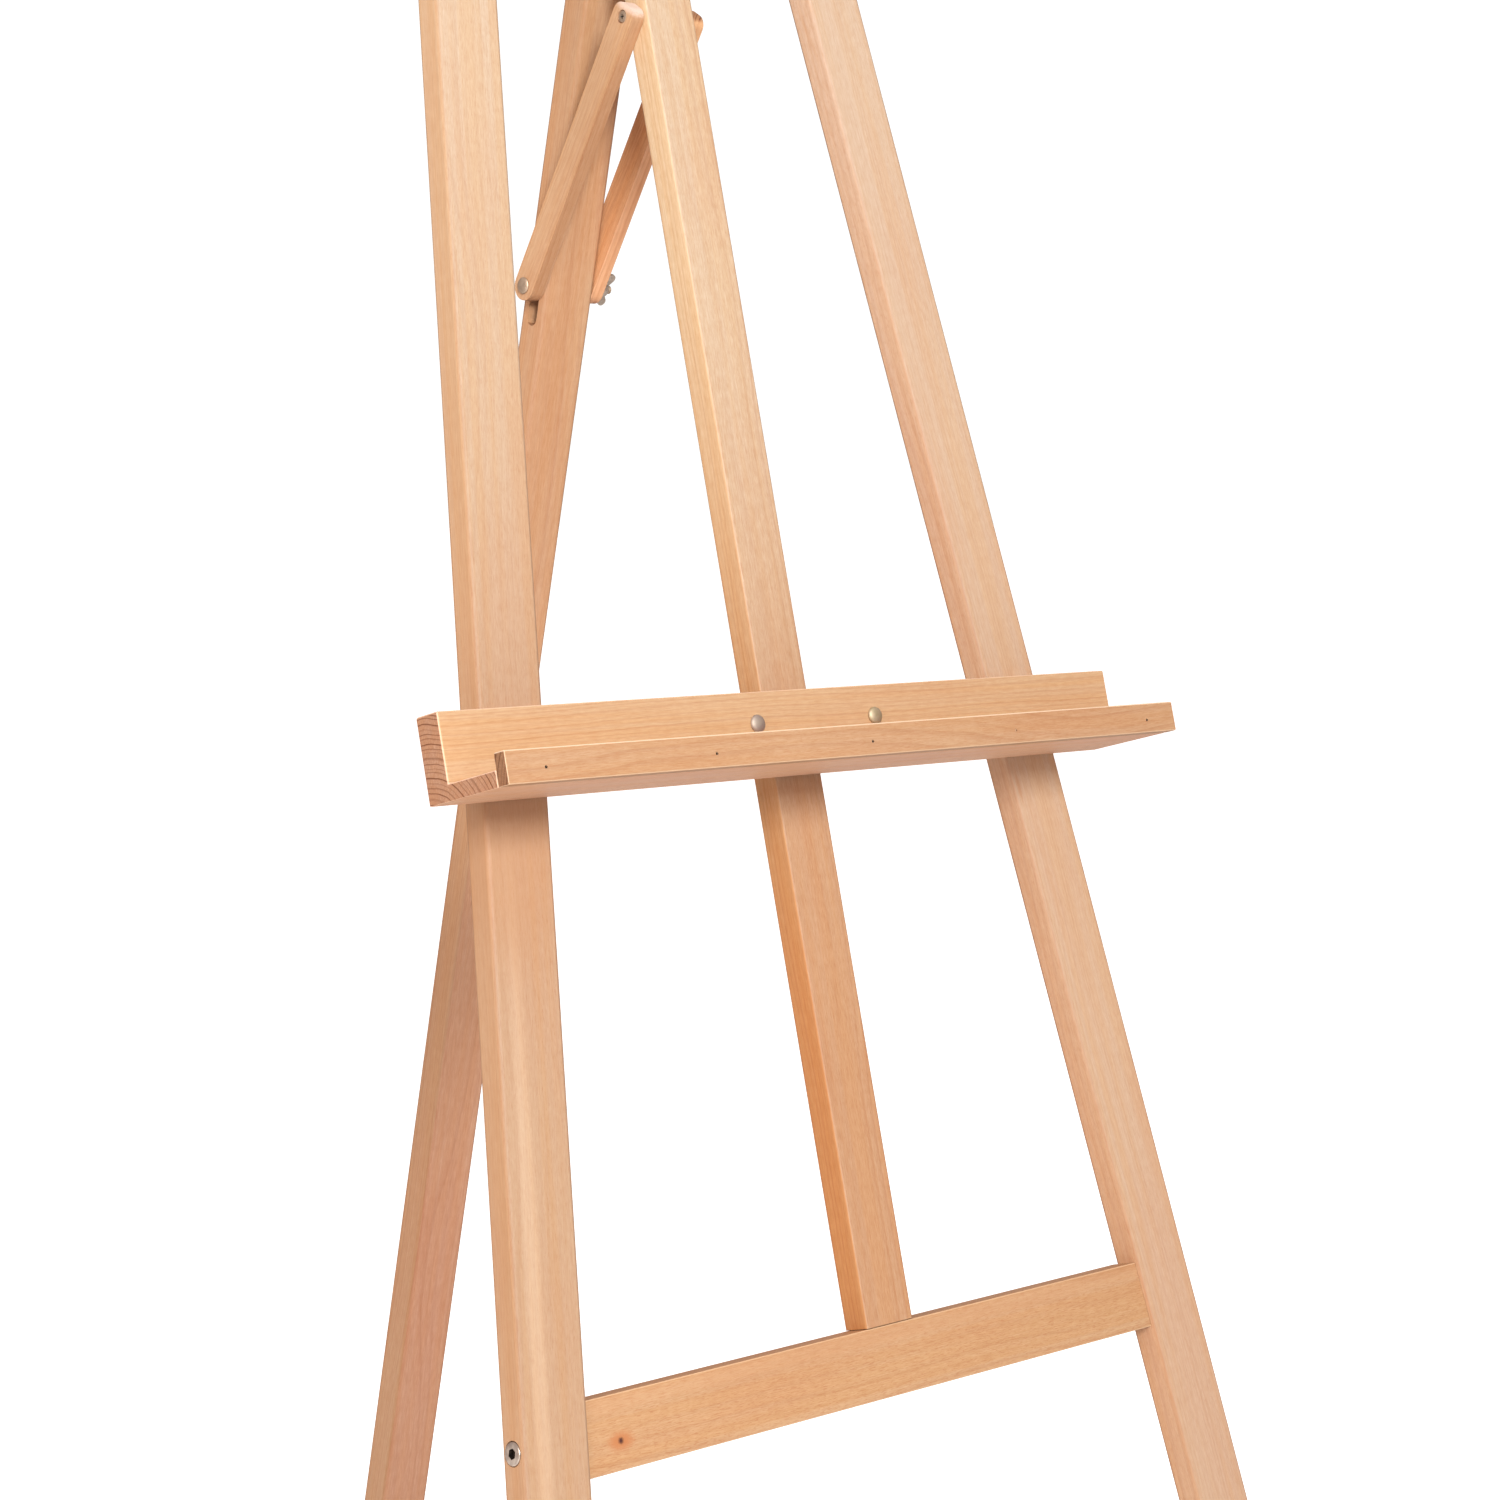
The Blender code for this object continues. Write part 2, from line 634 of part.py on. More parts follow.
def carriage_bolt(name, length, head, parent, location, rotation, colour):
    bolt = turned_object(name, carriage_profile(length, head))
    place(bolt, parent, location, rotation)
    return as_metal(bolt, colour)


def washer(name, parent, location, rotation):
    """A plain washer that stands on z = 0."""
    ring = cylinder_object(name, WASHER_R, (0, 0, 0), (0, 0, WASHER_THICK), steps=RING_STEPS)
    place(ring, parent, location, rotation)
    as_metal(ring, ZINC)
    return drill(ring, name, HOLE_R, (0, 0, -OVERRUN), (0, 0, WASHER_THICK + OVERRUN),
                 parent, rotation, location)


def wing_nut(name, parent, location, rotation):
    """A conical hub that stands on z = 0, with two flat round-ended wings."""
    chamfer = 0.0005
    hub = turned_object(name, [(0.0, NUT_HEIGHT), (NUT_TOP_R - chamfer, NUT_HEIGHT),
                               (NUT_TOP_R, NUT_HEIGHT - chamfer), (NUT_FOOT_R, chamfer),
                               (NUT_FOOT_R - chamfer, 0.0), (0.0, 0.0)])
    place(hub, parent, location, rotation)
    as_metal(hub, ZINC)
    for sign in (-1, 1):
        wing = outline_object(f"cut_{name}_wing{sign}",
                              stadium((sign * WING_ROOT[0], WING_ROOT[1]),
                                      (sign * WING_END[0], WING_END[1]), WING_R),
                              WING_THICK)
        lift = Matrix.Rotation(math.pi / 2, 4, 'X')
        wing.data.transform(lift)
        place(wing, parent, location, rotation)
        combine(hub, as_cutter(wing), 'UNION')
    return drill(hub, name, BOLT_R + GAP, (0, 0, -OVERRUN), (0, 0, NUT_HEIGHT + WING_END[1]),
                 parent, rotation, location)


# ---- Struts --------------------------------------------------------------------------
def strut_outline():
    """The strut in (depth, height) about its pivot: round below, blunter above."""
    half = STRUT_WIDTH / 2
    corner_x = half - STRUT_CORNER
    corner_z = STRUT_PAST_SCREW - STRUT_CORNER
    points = []
    for centre_x, start in ((corner_x, 0.0), (-corner_x, math.pi / 2)):
        for i in range(9):
            a = start + math.pi / 2 * i / 8
            points.append((centre_x + STRUT_CORNER * math.cos(a), corner_z + STRUT_CORNER * math.sin(a)))
    for i in range(17):
        a = math.pi + math.pi * i / 16
        points.append((half * math.cos(a), -STRUT_REACH + half * math.sin(a)))
    return points


def strut(side, sign, mast):
    """A round-ended bar beside the mast; local -Z runs down to the slot bolt."""
    middle = sign * (STRUT_IN_X + STRUT_THICK / 2)
    bar = outline_object(f"strut_{side}", strut_outline(), STRUT_THICK)
    place(bar, STRUTS, (middle, 0, 0), CROSSWAYS)
    round_edges(bar, STRUT_ROUND)
    as_wood(bar, BEECH_WARM)
    reach = STRUT_OUT_X + OVERRUN
    drill(bar, f"strut_low_{side}", HOLE_R, (-reach, 0, -STRUT_REACH), (reach, 0, -STRUT_REACH), STRUTS)

    where = (sign * (STRUT_OUT_X - GAP), 0.0, 0.0)
    outward = (0.0, sign * math.pi / 2, 0.0)
    hole = countersink_cutter(f"strut_{side}", SCREW_HEAD_R, SCREW_HEAD_DEEP, SCREW_SHANK_R,
                              SCREW_LENGTH + GAP, STRUT_FIXED, where, outward)
    cut(bar, hole)
    cut(mast, hole)
    screw = turned_object(f"strut_screw_{side}",
                          wood_screw_profile(SCREW_HEAD_R, SCREW_HEAD_DEEP, SCREW_SHANK_R, SCREW_LENGTH))
    place(screw, STRUT_FIXED, where, outward)
    as_metal(screw, ZINC)
    cross_drive(screw, f"strut_{side}", 0.0021, 0.0013, STRUT_FIXED, where, outward)


def slot_bolt():
    """The bolt through both struts and the rear leg's slot, with washer and wing nut."""
    low = (0.0, 0.0, -STRUT_REACH)
    nut_seat = STRUT_OUT_X + GAP + WASHER_THICK + GAP
    length = STRUT_OUT_X + GAP + nut_seat + NUT_HEIGHT + THREAD_END
    to_left = (0.0, -math.pi / 2, 0.0)
    to_right = (0.0, math.pi / 2, 0.0)
    carriage_bolt("strut_bolt", length, STRUT_DOME, STRUTS,
                  (-STRUT_OUT_X - GAP, 0.0, low[2]), to_left, ZINC)
    washer("strut_washer", STRUTS, (STRUT_OUT_X + GAP, 0.0, low[2]), to_right)
    nut_turn = Matrix.Rotation(math.pi / 2, 3, 'Y') @ Matrix.Rotation(STRUT_NUT_TURN, 3, 'Z')
    wing_nut("strut_wing_nut", STRUTS, (nut_seat, 0.0, low[2]), nut_turn.to_euler())


# ---- Tray and its clamp --------------------------------------------------------------
def tray_body():
    """Backboard and shelf in one L-shaped moulding; outline in (depth, height)."""
    shelf_front = -TRAY_DEPTH + LIP_THICK + GAP
    board_front = -GAP - TRAY_BACK_THICK
    foot = TRAY_FOOT
    shelf = foot + TRAY_SHELF_THICK
    top = foot + TRAY_BACK_HEIGHT
    outline = [(-GAP, foot), (-GAP, top), (board_front, top), (board_front, shelf),
               (shelf_front, shelf), (shelf_front, foot)]
    body = outline_object("tray_body", outline, TRAY_LENGTH)
    place(body, FRAME, (0, 0, 0), CROSSWAYS)
    round_edges(body, TRAY_ROUND)
    return as_wood(body, BEECH_PALE)


def tray_lip():
    front = -TRAY_DEPTH
    lip = box_object("tray_lip", (-TRAY_LENGTH / 2, front, TRAY_FOOT),
                     (TRAY_LENGTH / 2, front + LIP_THICK, TRAY_FOOT + LIP_HEIGHT))
    place(lip, FRAME, (0, 0, 0), (0, 0, 0))
    round_long_edges(lip, TRAY_ROUND, 0, end_share=0.6, segments=3)
    return as_wood(lip, BEECH_PALE)


def lip_nails(body, lip):
    """Small brads through the lip into the shelf's front edge."""
    radius, length, sunk = 0.0007, 0.022, 0.0004
    height = TRAY_FOOT + NAIL_RISE
    for index in range(NAIL_COUNT):
        x = (index - (NAIL_COUNT - 1) / 2) * NAIL_PITCH
        where = (x, -TRAY_DEPTH, height)
        forward = (math.pi / 2, 0.0, 0.0)
        hole = cylinder_object(f"cut_nail_{index + 1}", radius + GAP, (0, 0, OVERRUN),
                               (0, 0, -length - GAP), steps=SMALL_STEPS)
        place(hole, FRAME, where, forward)
        as_cutter(hole)
        cut(lip, hole)
        cut(body, hole)
        nail = cylinder_object(f"lip_nail_{index + 1}", radius, (0, 0, -sunk), (0, 0, -length),
                               steps=SMALL_STEPS)
        place(nail, FRAME, where, forward)
        as_metal(nail, DARK_STEEL, 0.5)


def tray_clamp(body):
    """The bar behind the mast, drawn to the tray by two bolts that straddle the mast."""
    front = MAST_BACK + GAP
    back = front + STOCK
    half = CLAMP_LENGTH / 2
    low = CLAMP_HEIGHT - CLAMP_WIDTH / 2
    bar = box_object("clamp_bar", (CLAMP_CENTRE_X - half, front, low),
                     (CLAMP_CENTRE_X + half, back, low + CLAMP_WIDTH))
    place(bar, FRAME, (0, 0, 0), (0, 0, 0))
    round_long_edges(bar, MAST_ROUND, 0, end_share=1.0, segments=3)
    as_wood(bar, BEECH_WARM)
    head_depth = -GAP - TRAY_BACK_THICK - GAP
    nut_seat = back + GAP + WASHER_THICK + GAP
    length = nut_seat - head_depth + NUT_HEIGHT + THREAD_END
    forward = (math.pi / 2, 0.0, 0.0)
    backward = (-math.pi / 2, 0.0, 0.0)
    for side, sign in (("left", -1), ("right", 1)):
        x = CLAMP_CENTRE_X + sign * CLAMP_BOLT_SPACING / 2
        hole = cylinder_object(f"cut_clamp_{side}", HOLE_R, (x, -0.06, CLAMP_HEIGHT),
                               (x, 0.06, CLAMP_HEIGHT))
        place(hole, FRAME, (0, 0, 0), (0, 0, 0))
        as_cutter(hole)
        cut(body, hole)
        cut(bar, hole)
        carriage_bolt(f"tray_bolt_{side}", length, TRAY_DOME, FRAME,
                      (x, head_depth, CLAMP_HEIGHT), forward, YELLOW_ZINC)
        washer(f"tray_washer_{side}", FRAME, (x, back + GAP, CLAMP_HEIGHT), backward)
        wing_nut(f"tray_wing_nut_{side}", FRAME, (x, nut_seat, CLAMP_HEIGHT), backward)


# ---- Assembly ------------------------------------------------------------------------
legs = {side: side_leg(side) for side in ("left", "right")}
bars = {"lower": crossbar("lower_crossbar", LOWER_BAR_TOP),
        "upper": crossbar("upper_crossbar", UPPER_BAR_TOP)}
for level, outer_height in (("lower", CONNECTOR_OUTER_LOWER), ("upper", CONNECTOR_OUTER_UPPER)):
    for side, leg in legs.items():
        connector_joint(level, side, leg, bars[level], outer_height)

mast = mast_piece()
mast_screw("lower", LOWER_BAR_TOP - BAR_HEIGHT, (math.pi, 0.0, 0.0), bars["lower"], mast)
mast_screw("upper", UPPER_BAR_TOP, (0.0, 0.0, 0.0), bars["upper"], mast)

rear_leg = rear_leg_piece()
WOOD_BEHIND = {"hinge_leaf_mast": mast, "hinge_leaf_leg": rear_leg}
LEAF_SCREWS = [(-0.0115, -0.0105), (0.0115, -0.0105), (0.0, -0.0225)]
hinge_leaf("hinge_leaf_mast", -1, (0, 2, 4), MAST_LEAF, LEAF_SCREWS)
hinge_leaf("hinge_leaf_leg", 1, (1, 3), HINGE, LEAF_SCREWS)
hinge_pin()

for side, sign in (("left", -1), ("right", 1)):
    strut(side, sign, mast)
slot_bolt()

body = tray_body()
lip = tray_lip()
lip_nails(body, lip)
tray_clamp(body)

for obj in PARTS.objects:
    if obj.type == 'MESH':
        obj.data.shade_smooth()
        obj.data.set_sharp_from_angle(angle=math.radians(35))
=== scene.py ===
"""Looks of the wooden artist easel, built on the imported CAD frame.

Every wooden member gets a welded, smooth-shaded copy of its CAD node in a solid beech
texture: growth rings round a pith, medullary rays, fibres and darker end grain all come
from the same coordinates, so the figure runs through each member as it does in timber.
"""
import json
import math

import bmesh
import bpy
import numpy as np
from mathutils import Matrix, Vector


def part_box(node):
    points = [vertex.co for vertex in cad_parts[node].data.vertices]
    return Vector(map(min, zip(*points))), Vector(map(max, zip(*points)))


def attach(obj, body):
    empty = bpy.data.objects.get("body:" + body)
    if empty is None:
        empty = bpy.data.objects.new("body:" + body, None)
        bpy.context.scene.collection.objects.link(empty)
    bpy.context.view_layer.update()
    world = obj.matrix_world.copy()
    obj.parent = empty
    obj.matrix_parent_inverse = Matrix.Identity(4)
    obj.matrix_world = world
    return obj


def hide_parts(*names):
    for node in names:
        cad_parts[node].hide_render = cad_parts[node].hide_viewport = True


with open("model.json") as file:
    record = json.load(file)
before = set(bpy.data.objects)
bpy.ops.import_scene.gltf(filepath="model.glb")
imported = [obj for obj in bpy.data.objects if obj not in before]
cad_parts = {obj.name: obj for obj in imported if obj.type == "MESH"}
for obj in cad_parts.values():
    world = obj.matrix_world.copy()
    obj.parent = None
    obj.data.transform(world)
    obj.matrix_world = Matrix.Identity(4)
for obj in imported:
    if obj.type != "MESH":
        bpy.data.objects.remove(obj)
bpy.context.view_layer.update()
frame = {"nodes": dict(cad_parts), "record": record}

NODES = frame["nodes"]
BODY_OF = {node: body for body, nodes in frame["record"]["behaviour"]["bodies"].items()
           for node in nodes}
SLOT_OF = {part["node"]: part["material_slot"] for part in frame["record"]["subparts"]}

# ---- Camera and light ----------------------------------------------------------------
CAMERA_AT = (-1.3849, -1.5990, 0.8153)
CAMERA_TURN = (math.radians(85.20), 0.0, math.radians(-42.94))
CAMERA_LENS = 78.14                # mm
SENSOR_WIDTH = 36.0                # mm
VIEW_LIMIT = 100.0

LIGHT_TARGET = (0.0, -0.1, 0.85)
FLOOR_SIZE = 40.0
FLOOR_GREY = 0.80
FLOOR_ROUGHNESS = 0.8
FLOOR_GLOW = 0.80                  # for the camera only, so that the floor looks white
BACKDROP = 1.1                     # the white behind the easel, for the camera only
WHITE = (1.0, 1.0, 1.0, 1.0)
ROOM_COLOUR = (1.0, 0.86, 0.82, 1.0)
WALL_LIGHT = 0.36                  # strength of the room's even light at eye height
CEILING_LIGHT = 0.72               # and straight above
KEY_AT = (-1.60, -2.80, 2.08)
KEY_SIZE = 0.9
KEY_POWER = 150.0
KEY_COLOUR = (0.90, 0.98, 1.0)
FILL_AT = (-3.0, -0.9, 1.3)
FILL_SIZE = 1.4
FILL_POWER = 32.0
FILL_COLOUR = (1.0, 0.90, 0.85)


def aim(obj, target):
    """Turn an object's -Z towards a point."""
    obj.rotation_euler = (Vector(target) - obj.location).to_track_quat('-Z', 'Y').to_euler()


def make_camera():
    lens = bpy.data.cameras.new("camera")
    lens.lens = CAMERA_LENS
    lens.sensor_width = SENSOR_WIDTH
    lens.clip_end = VIEW_LIMIT
    camera = bpy.data.objects.new("camera", lens)
    camera.location = CAMERA_AT
    camera.rotation_euler = CAMERA_TURN
    bpy.context.scene.collection.objects.link(camera)
    bpy.context.scene.camera = camera


def soft_box(name, location, size, power, colour):
    """A square lamp that points at the middle of the easel."""
    light = bpy.data.lights.new(name, 'AREA')
    light.shape = 'SQUARE'
    light.size = size
    light.energy = power
    light.color = colour
    obj = bpy.data.objects.new(name, light)
    obj.location = location
    aim(obj, LIGHT_TARGET)
    bpy.context.scene.collection.objects.link(obj)


def make_studio():
    """A white room: light that grows towards the ceiling, a key left of the easel, a fill."""
    scene = bpy.context.scene
    scene.view_settings.view_transform = 'Standard'
    scene.view_settings.look = 'None'
    world = bpy.data.worlds.new("studio")
    world.use_nodes = True
    tree = world.node_tree
    lit = tree.nodes["Background"]
    lit.inputs["Color"].default_value = ROOM_COLOUR
    g = Graph(tree)
    height = g.split(g.node("ShaderNodeTexCoord").outputs["Generated"])[2]
    g.feed(lit.inputs["Strength"], g.step(height, 0.0, 1.0, WALL_LIGHT, CEILING_LIGHT))
    seen = tree.nodes.new("ShaderNodeBackground")
    seen.inputs["Color"].default_value = WHITE
    seen.inputs["Strength"].default_value = BACKDROP
    path = tree.nodes.new("ShaderNodeLightPath")
    mix = tree.nodes.new("ShaderNodeMixShader")
    tree.links.new(path.outputs["Is Camera Ray"], mix.inputs["Fac"])
    tree.links.new(lit.outputs["Background"], mix.inputs[1])
    tree.links.new(seen.outputs["Background"], mix.inputs[2])
    tree.links.new(mix.outputs["Shader"], tree.nodes["World Output"].inputs["Surface"])
    scene.world = world
    soft_box("key", KEY_AT, KEY_SIZE, KEY_POWER, KEY_COLOUR)
    soft_box("fill", FILL_AT, FILL_SIZE, FILL_POWER, FILL_COLOUR)


# ---- Node graphs ---------------------------------------------------------------------
class Graph:
    """Adds shader nodes to a tree; each call returns the new node's first output."""

    def __init__(self, tree):
        self.tree = tree

    def node(self, kind, **settings):
        made = self.tree.nodes.new(kind)
        for name, value in settings.items():
            setattr(made, name, value)
        return made

    def feed(self, socket, value):
        """Link a socket to another node's output, or set its number, vector or colour."""
        if isinstance(value, bpy.types.NodeSocket):
            self.tree.links.new(value, socket)
        else:
            socket.default_value = value

    def math(self, operation, *values, clamp=False):
        made = self.node("ShaderNodeMath", operation=operation, use_clamp=clamp)
        for socket, value in zip(made.inputs, values):
            self.feed(socket, value)
        return made.outputs[0]

    def vector(self, operation, *values):
        made = self.node("ShaderNodeVectorMath", operation=operation)
        for socket, value in zip(made.inputs, values):
            self.feed(socket, value)
        return made.outputs["Value" if operation in {'LENGTH', 'DOT_PRODUCT'} else "Vector"]

    def split(self, vector):
        made = self.node("ShaderNodeSeparateXYZ")
        self.feed(made.inputs[0], vector)
        return made.outputs

    def join(self, x, y, z):
        made = self.node("ShaderNodeCombineXYZ")
        for socket, value in zip(made.inputs, (x, y, z)):
            self.feed(socket, value)
        return made.outputs[0]

    def noise(self, vector, scale=1.0, detail=2.0, roughness=0.5):
        """Noise about 0.5, read at the vector."""
        made = self.node("ShaderNodeTexNoise")
        self.feed(made.inputs["Vector"], vector)
        self.feed(made.inputs["Scale"], scale)
        self.feed(made.inputs["Detail"], detail)
        self.feed(made.inputs["Roughness"], roughness)
        return made.outputs[0]

    def step(self, value, low, high, to_low=0.0, to_high=1.0):
        """Smooth step from to_low at low to to_high at high."""
        made = self.node("ShaderNodeMapRange", interpolation_type='SMOOTHSTEP')
        for name, number in (("Value", value), ("From Min", low), ("From Max", high),
                             ("To Min", to_low), ("To Max", to_high)):
            self.feed(made.inputs[name], number)
        return made.outputs["Result"]

    def mix(self, share, first, second, blend='MIX'):
        made = self.node("ShaderNodeMix", data_type='RGBA', blend_type=blend)
        for socket, value in ((made.inputs[0], share), (made.inputs[6], first),
                              (made.inputs[7], second)):
            self.feed(socket, value)
        return made.outputs[2]

    def turned(self, vector, location, rotation, scale):
        """The vector in axes that sit at a location with a rotation and a unit length."""
        made = self.node("ShaderNodeMapping", vector_type='TEXTURE')
        self.feed(made.inputs["Vector"], vector)
        made.inputs["Location"].default_value = location
        made.inputs["Rotation"].default_value = rotation
        made.inputs["Scale"].default_value = (scale, scale, scale)
        return made.outputs[0]


# ---- Beech ---------------------------------------------------------------------------
MM = 0.001
PLAIN = (1.0, 1.0, 1.0)
FADE = (-420.0, 420.0)             # mm from a member's middle, where its low tone comes in
WOOD_SHINE = 0.32
WOOD_RELIEF = 0.00012
WOOD_BUMP = 0.35
WOOD_ROUGHNESS = 0.44

PALE = (0.64, 0.45, 0.30)
DEEP = (0.54, 0.325, 0.185)
FLECK_BROWN = (0.36, 0.135, 0.055, 1.0)
RING_TINT = (0.70, 0.48, 0.36, 1.0)
END_TINT = (0.57, 0.48, 0.43, 1.0)
END_RING_TINT = (0.40, 0.27, 0.20, 1.0)
BLUSH_TINT = (0.985, 0.945, 0.935, 1.0)
WARM_TINT = (1.0, 0.945, 0.86, 1.0)
# painted shade on the long arrises, evening out the light they catch
ARRIS_SHADE_TINT = (0.62, 0.56, 0.52, 1.0)
# pale of rubbed arrises, partly wear and partly a painted highlight
EDGE_WEAR_AND_HIGHLIGHT_GAIN = (1.25, 1.32, 1.40, 1.0)

# Steps of noise per mm across the grain, across it and along it.
DRIFT_STEPS = (0.012, 0.012, 0.003)
WIGGLE_STEPS = (0.11, 0.11, 0.018)
FIBRE_STEPS = (1.5, 1.5, 0.11)
LINE_STEPS = (0.85, 0.85, 0.010)
BAND_STEPS = (0.16, 0.16, 0.0028)
RIPPLE_STEPS = (0.10, 0.10, 0.16)
PATCH_STEPS = (0.03, 0.03, 0.006)
# Steps of noise per mm out from the pith, round it and along it.
SMALL_RAY_STEPS = (0.10, 2.6, 0.34)
LONG_RAY_STEPS = (0.05, 1.9, 0.17)
END_RAY_STEPS = (0.25, 3.5, 0.0)

RING_DRIFT = 22.0                  # mm that the rings wander over a whole board
RING_WIGGLE = 1.6                  # and over a few centimetres
RING_UNEVENNESS = 2.5              # ring widths by which rings crowd and spread
FIBRE_SHARE = 1.9
LINE_SHARE = 0.65
RIPPLE_SHARE = 0.30
TONE_OFFSET = 0.925                # brings the sum of those three shares back to 0 to 1
END_RING_GAIN = 2.6


def figure_noise(g, point, steps, detail, roughness=0.5):
    """Noise with its own steps per mm in each direction."""
    return g.noise(g.vector('MULTIPLY', point, steps), detail=detail, roughness=roughness)


def wander(g, point, steps, detail, reach):
    """A slow swing about zero, by half of reach at most."""
    swing = g.math('SUBTRACT', figure_noise(g, point, steps, detail), 0.5)
    return g.math('MULTIPLY', swing, reach)


def late_wood(g, wavy, ring_width, seed, end):
    """The dark later part of each growth ring, stronger in some rings than in others."""
    crowding = g.math('MULTIPLY', g.noise(g.join(wavy, 0.0, seed), scale=0.13), RING_UNEVENNESS)
    ring = g.math('ADD', g.math('DIVIDE', wavy, ring_width), crowding)
    phase = g.math('FRACT', ring)
    rise = g.math('ADD', g.math('MULTIPLY', end, 0.22), 0.35)
    late = g.math('MULTIPLY', g.step(phase, rise, 0.90), g.step(phase, 0.90, 1.0, 1.0, 0.0))
    ring_share = g.noise(g.join(g.math('FLOOR', ring), seed, 7.3), scale=0.77, detail=0.0)
    return g.math('MULTIPLY', late, g.step(ring_share, 0.25, 0.75, 0.25, 1.0))


def round_pith(g, place, steps, detail=0.0):
    """Noise in the tree's own directions, at a place given as out, round and along."""
    scaled = [g.math('MULTIPLY', value, step) if step else 0.0 for value, step in zip(place, steps)]
    return g.noise(g.join(*scaled), detail=detail)


def ground(g, point, fibres, pale, deep):
    """The board's own colour: pale and deep fibres, warm bands and faint pink patches."""
    lines = figure_noise(g, point, LINE_STEPS, 3.0, 0.6)
    bands = figure_noise(g, point, BAND_STEPS, 3.0)
    ripple = figure_noise(g, point, RIPPLE_STEPS, 1.0)
    patches = figure_noise(g, point, PATCH_STEPS, 1.0)
    tone = g.math('ADD', g.math('MULTIPLY', fibres, FIBRE_SHARE), g.math('MULTIPLY', lines, LINE_SHARE))
    tone = g.math('ADD', tone, g.math('MULTIPLY', ripple, RIPPLE_SHARE))
    tone = g.math('SUBTRACT', tone, TONE_OFFSET, clamp=True)
    colour = g.mix(tone, pale, deep)
    warm = g.mix(1.0, colour, WARM_TINT, 'MULTIPLY')
    colour = g.mix(g.step(bands, 0.36, 0.64), colour, warm)
    blush = g.mix(1.0, colour, BLUSH_TINT, 'MULTIPLY')
    return g.mix(g.step(patches, 0.40, 0.68), colour, blush)


def worked_edges(g, colour, pale, edge_wear_and_highlight, faces):
    """Long arrises: painted shade that evens out the light they catch, less as wear grows; near full
    wear, rubbed pale, partly wear and partly a painted highlight.
    """
    nx, ny, nz = faces
    shade_share = g.math('SUBTRACT', 1.0, edge_wear_and_highlight)
    # painted shade on the arrises, less where they are worn
    arris_shade = g.math('MULTIPLY', g.math('MULTIPLY', nx, ny), shade_share)
    colour = g.mix(arris_shade, colour, g.mix(1.0, colour, ARRIS_SHADE_TINT, 'MULTIPLY'))
    arris = g.math('SUBTRACT', 1.0, g.math('MAXIMUM', g.math('MAXIMUM', nx, ny), nz))
    # rubbed pale arrises: partly wear, partly a painted highlight
    wear_and_highlight_share = g.math('MULTIPLY', g.step(arris, 0.03, 0.20), edge_wear_and_highlight)
    return g.mix(wear_and_highlight_share, colour, g.mix(1.0, pale, EDGE_WEAR_AND_HIGHLIGHT_GAIN, 'MULTIPLY'))


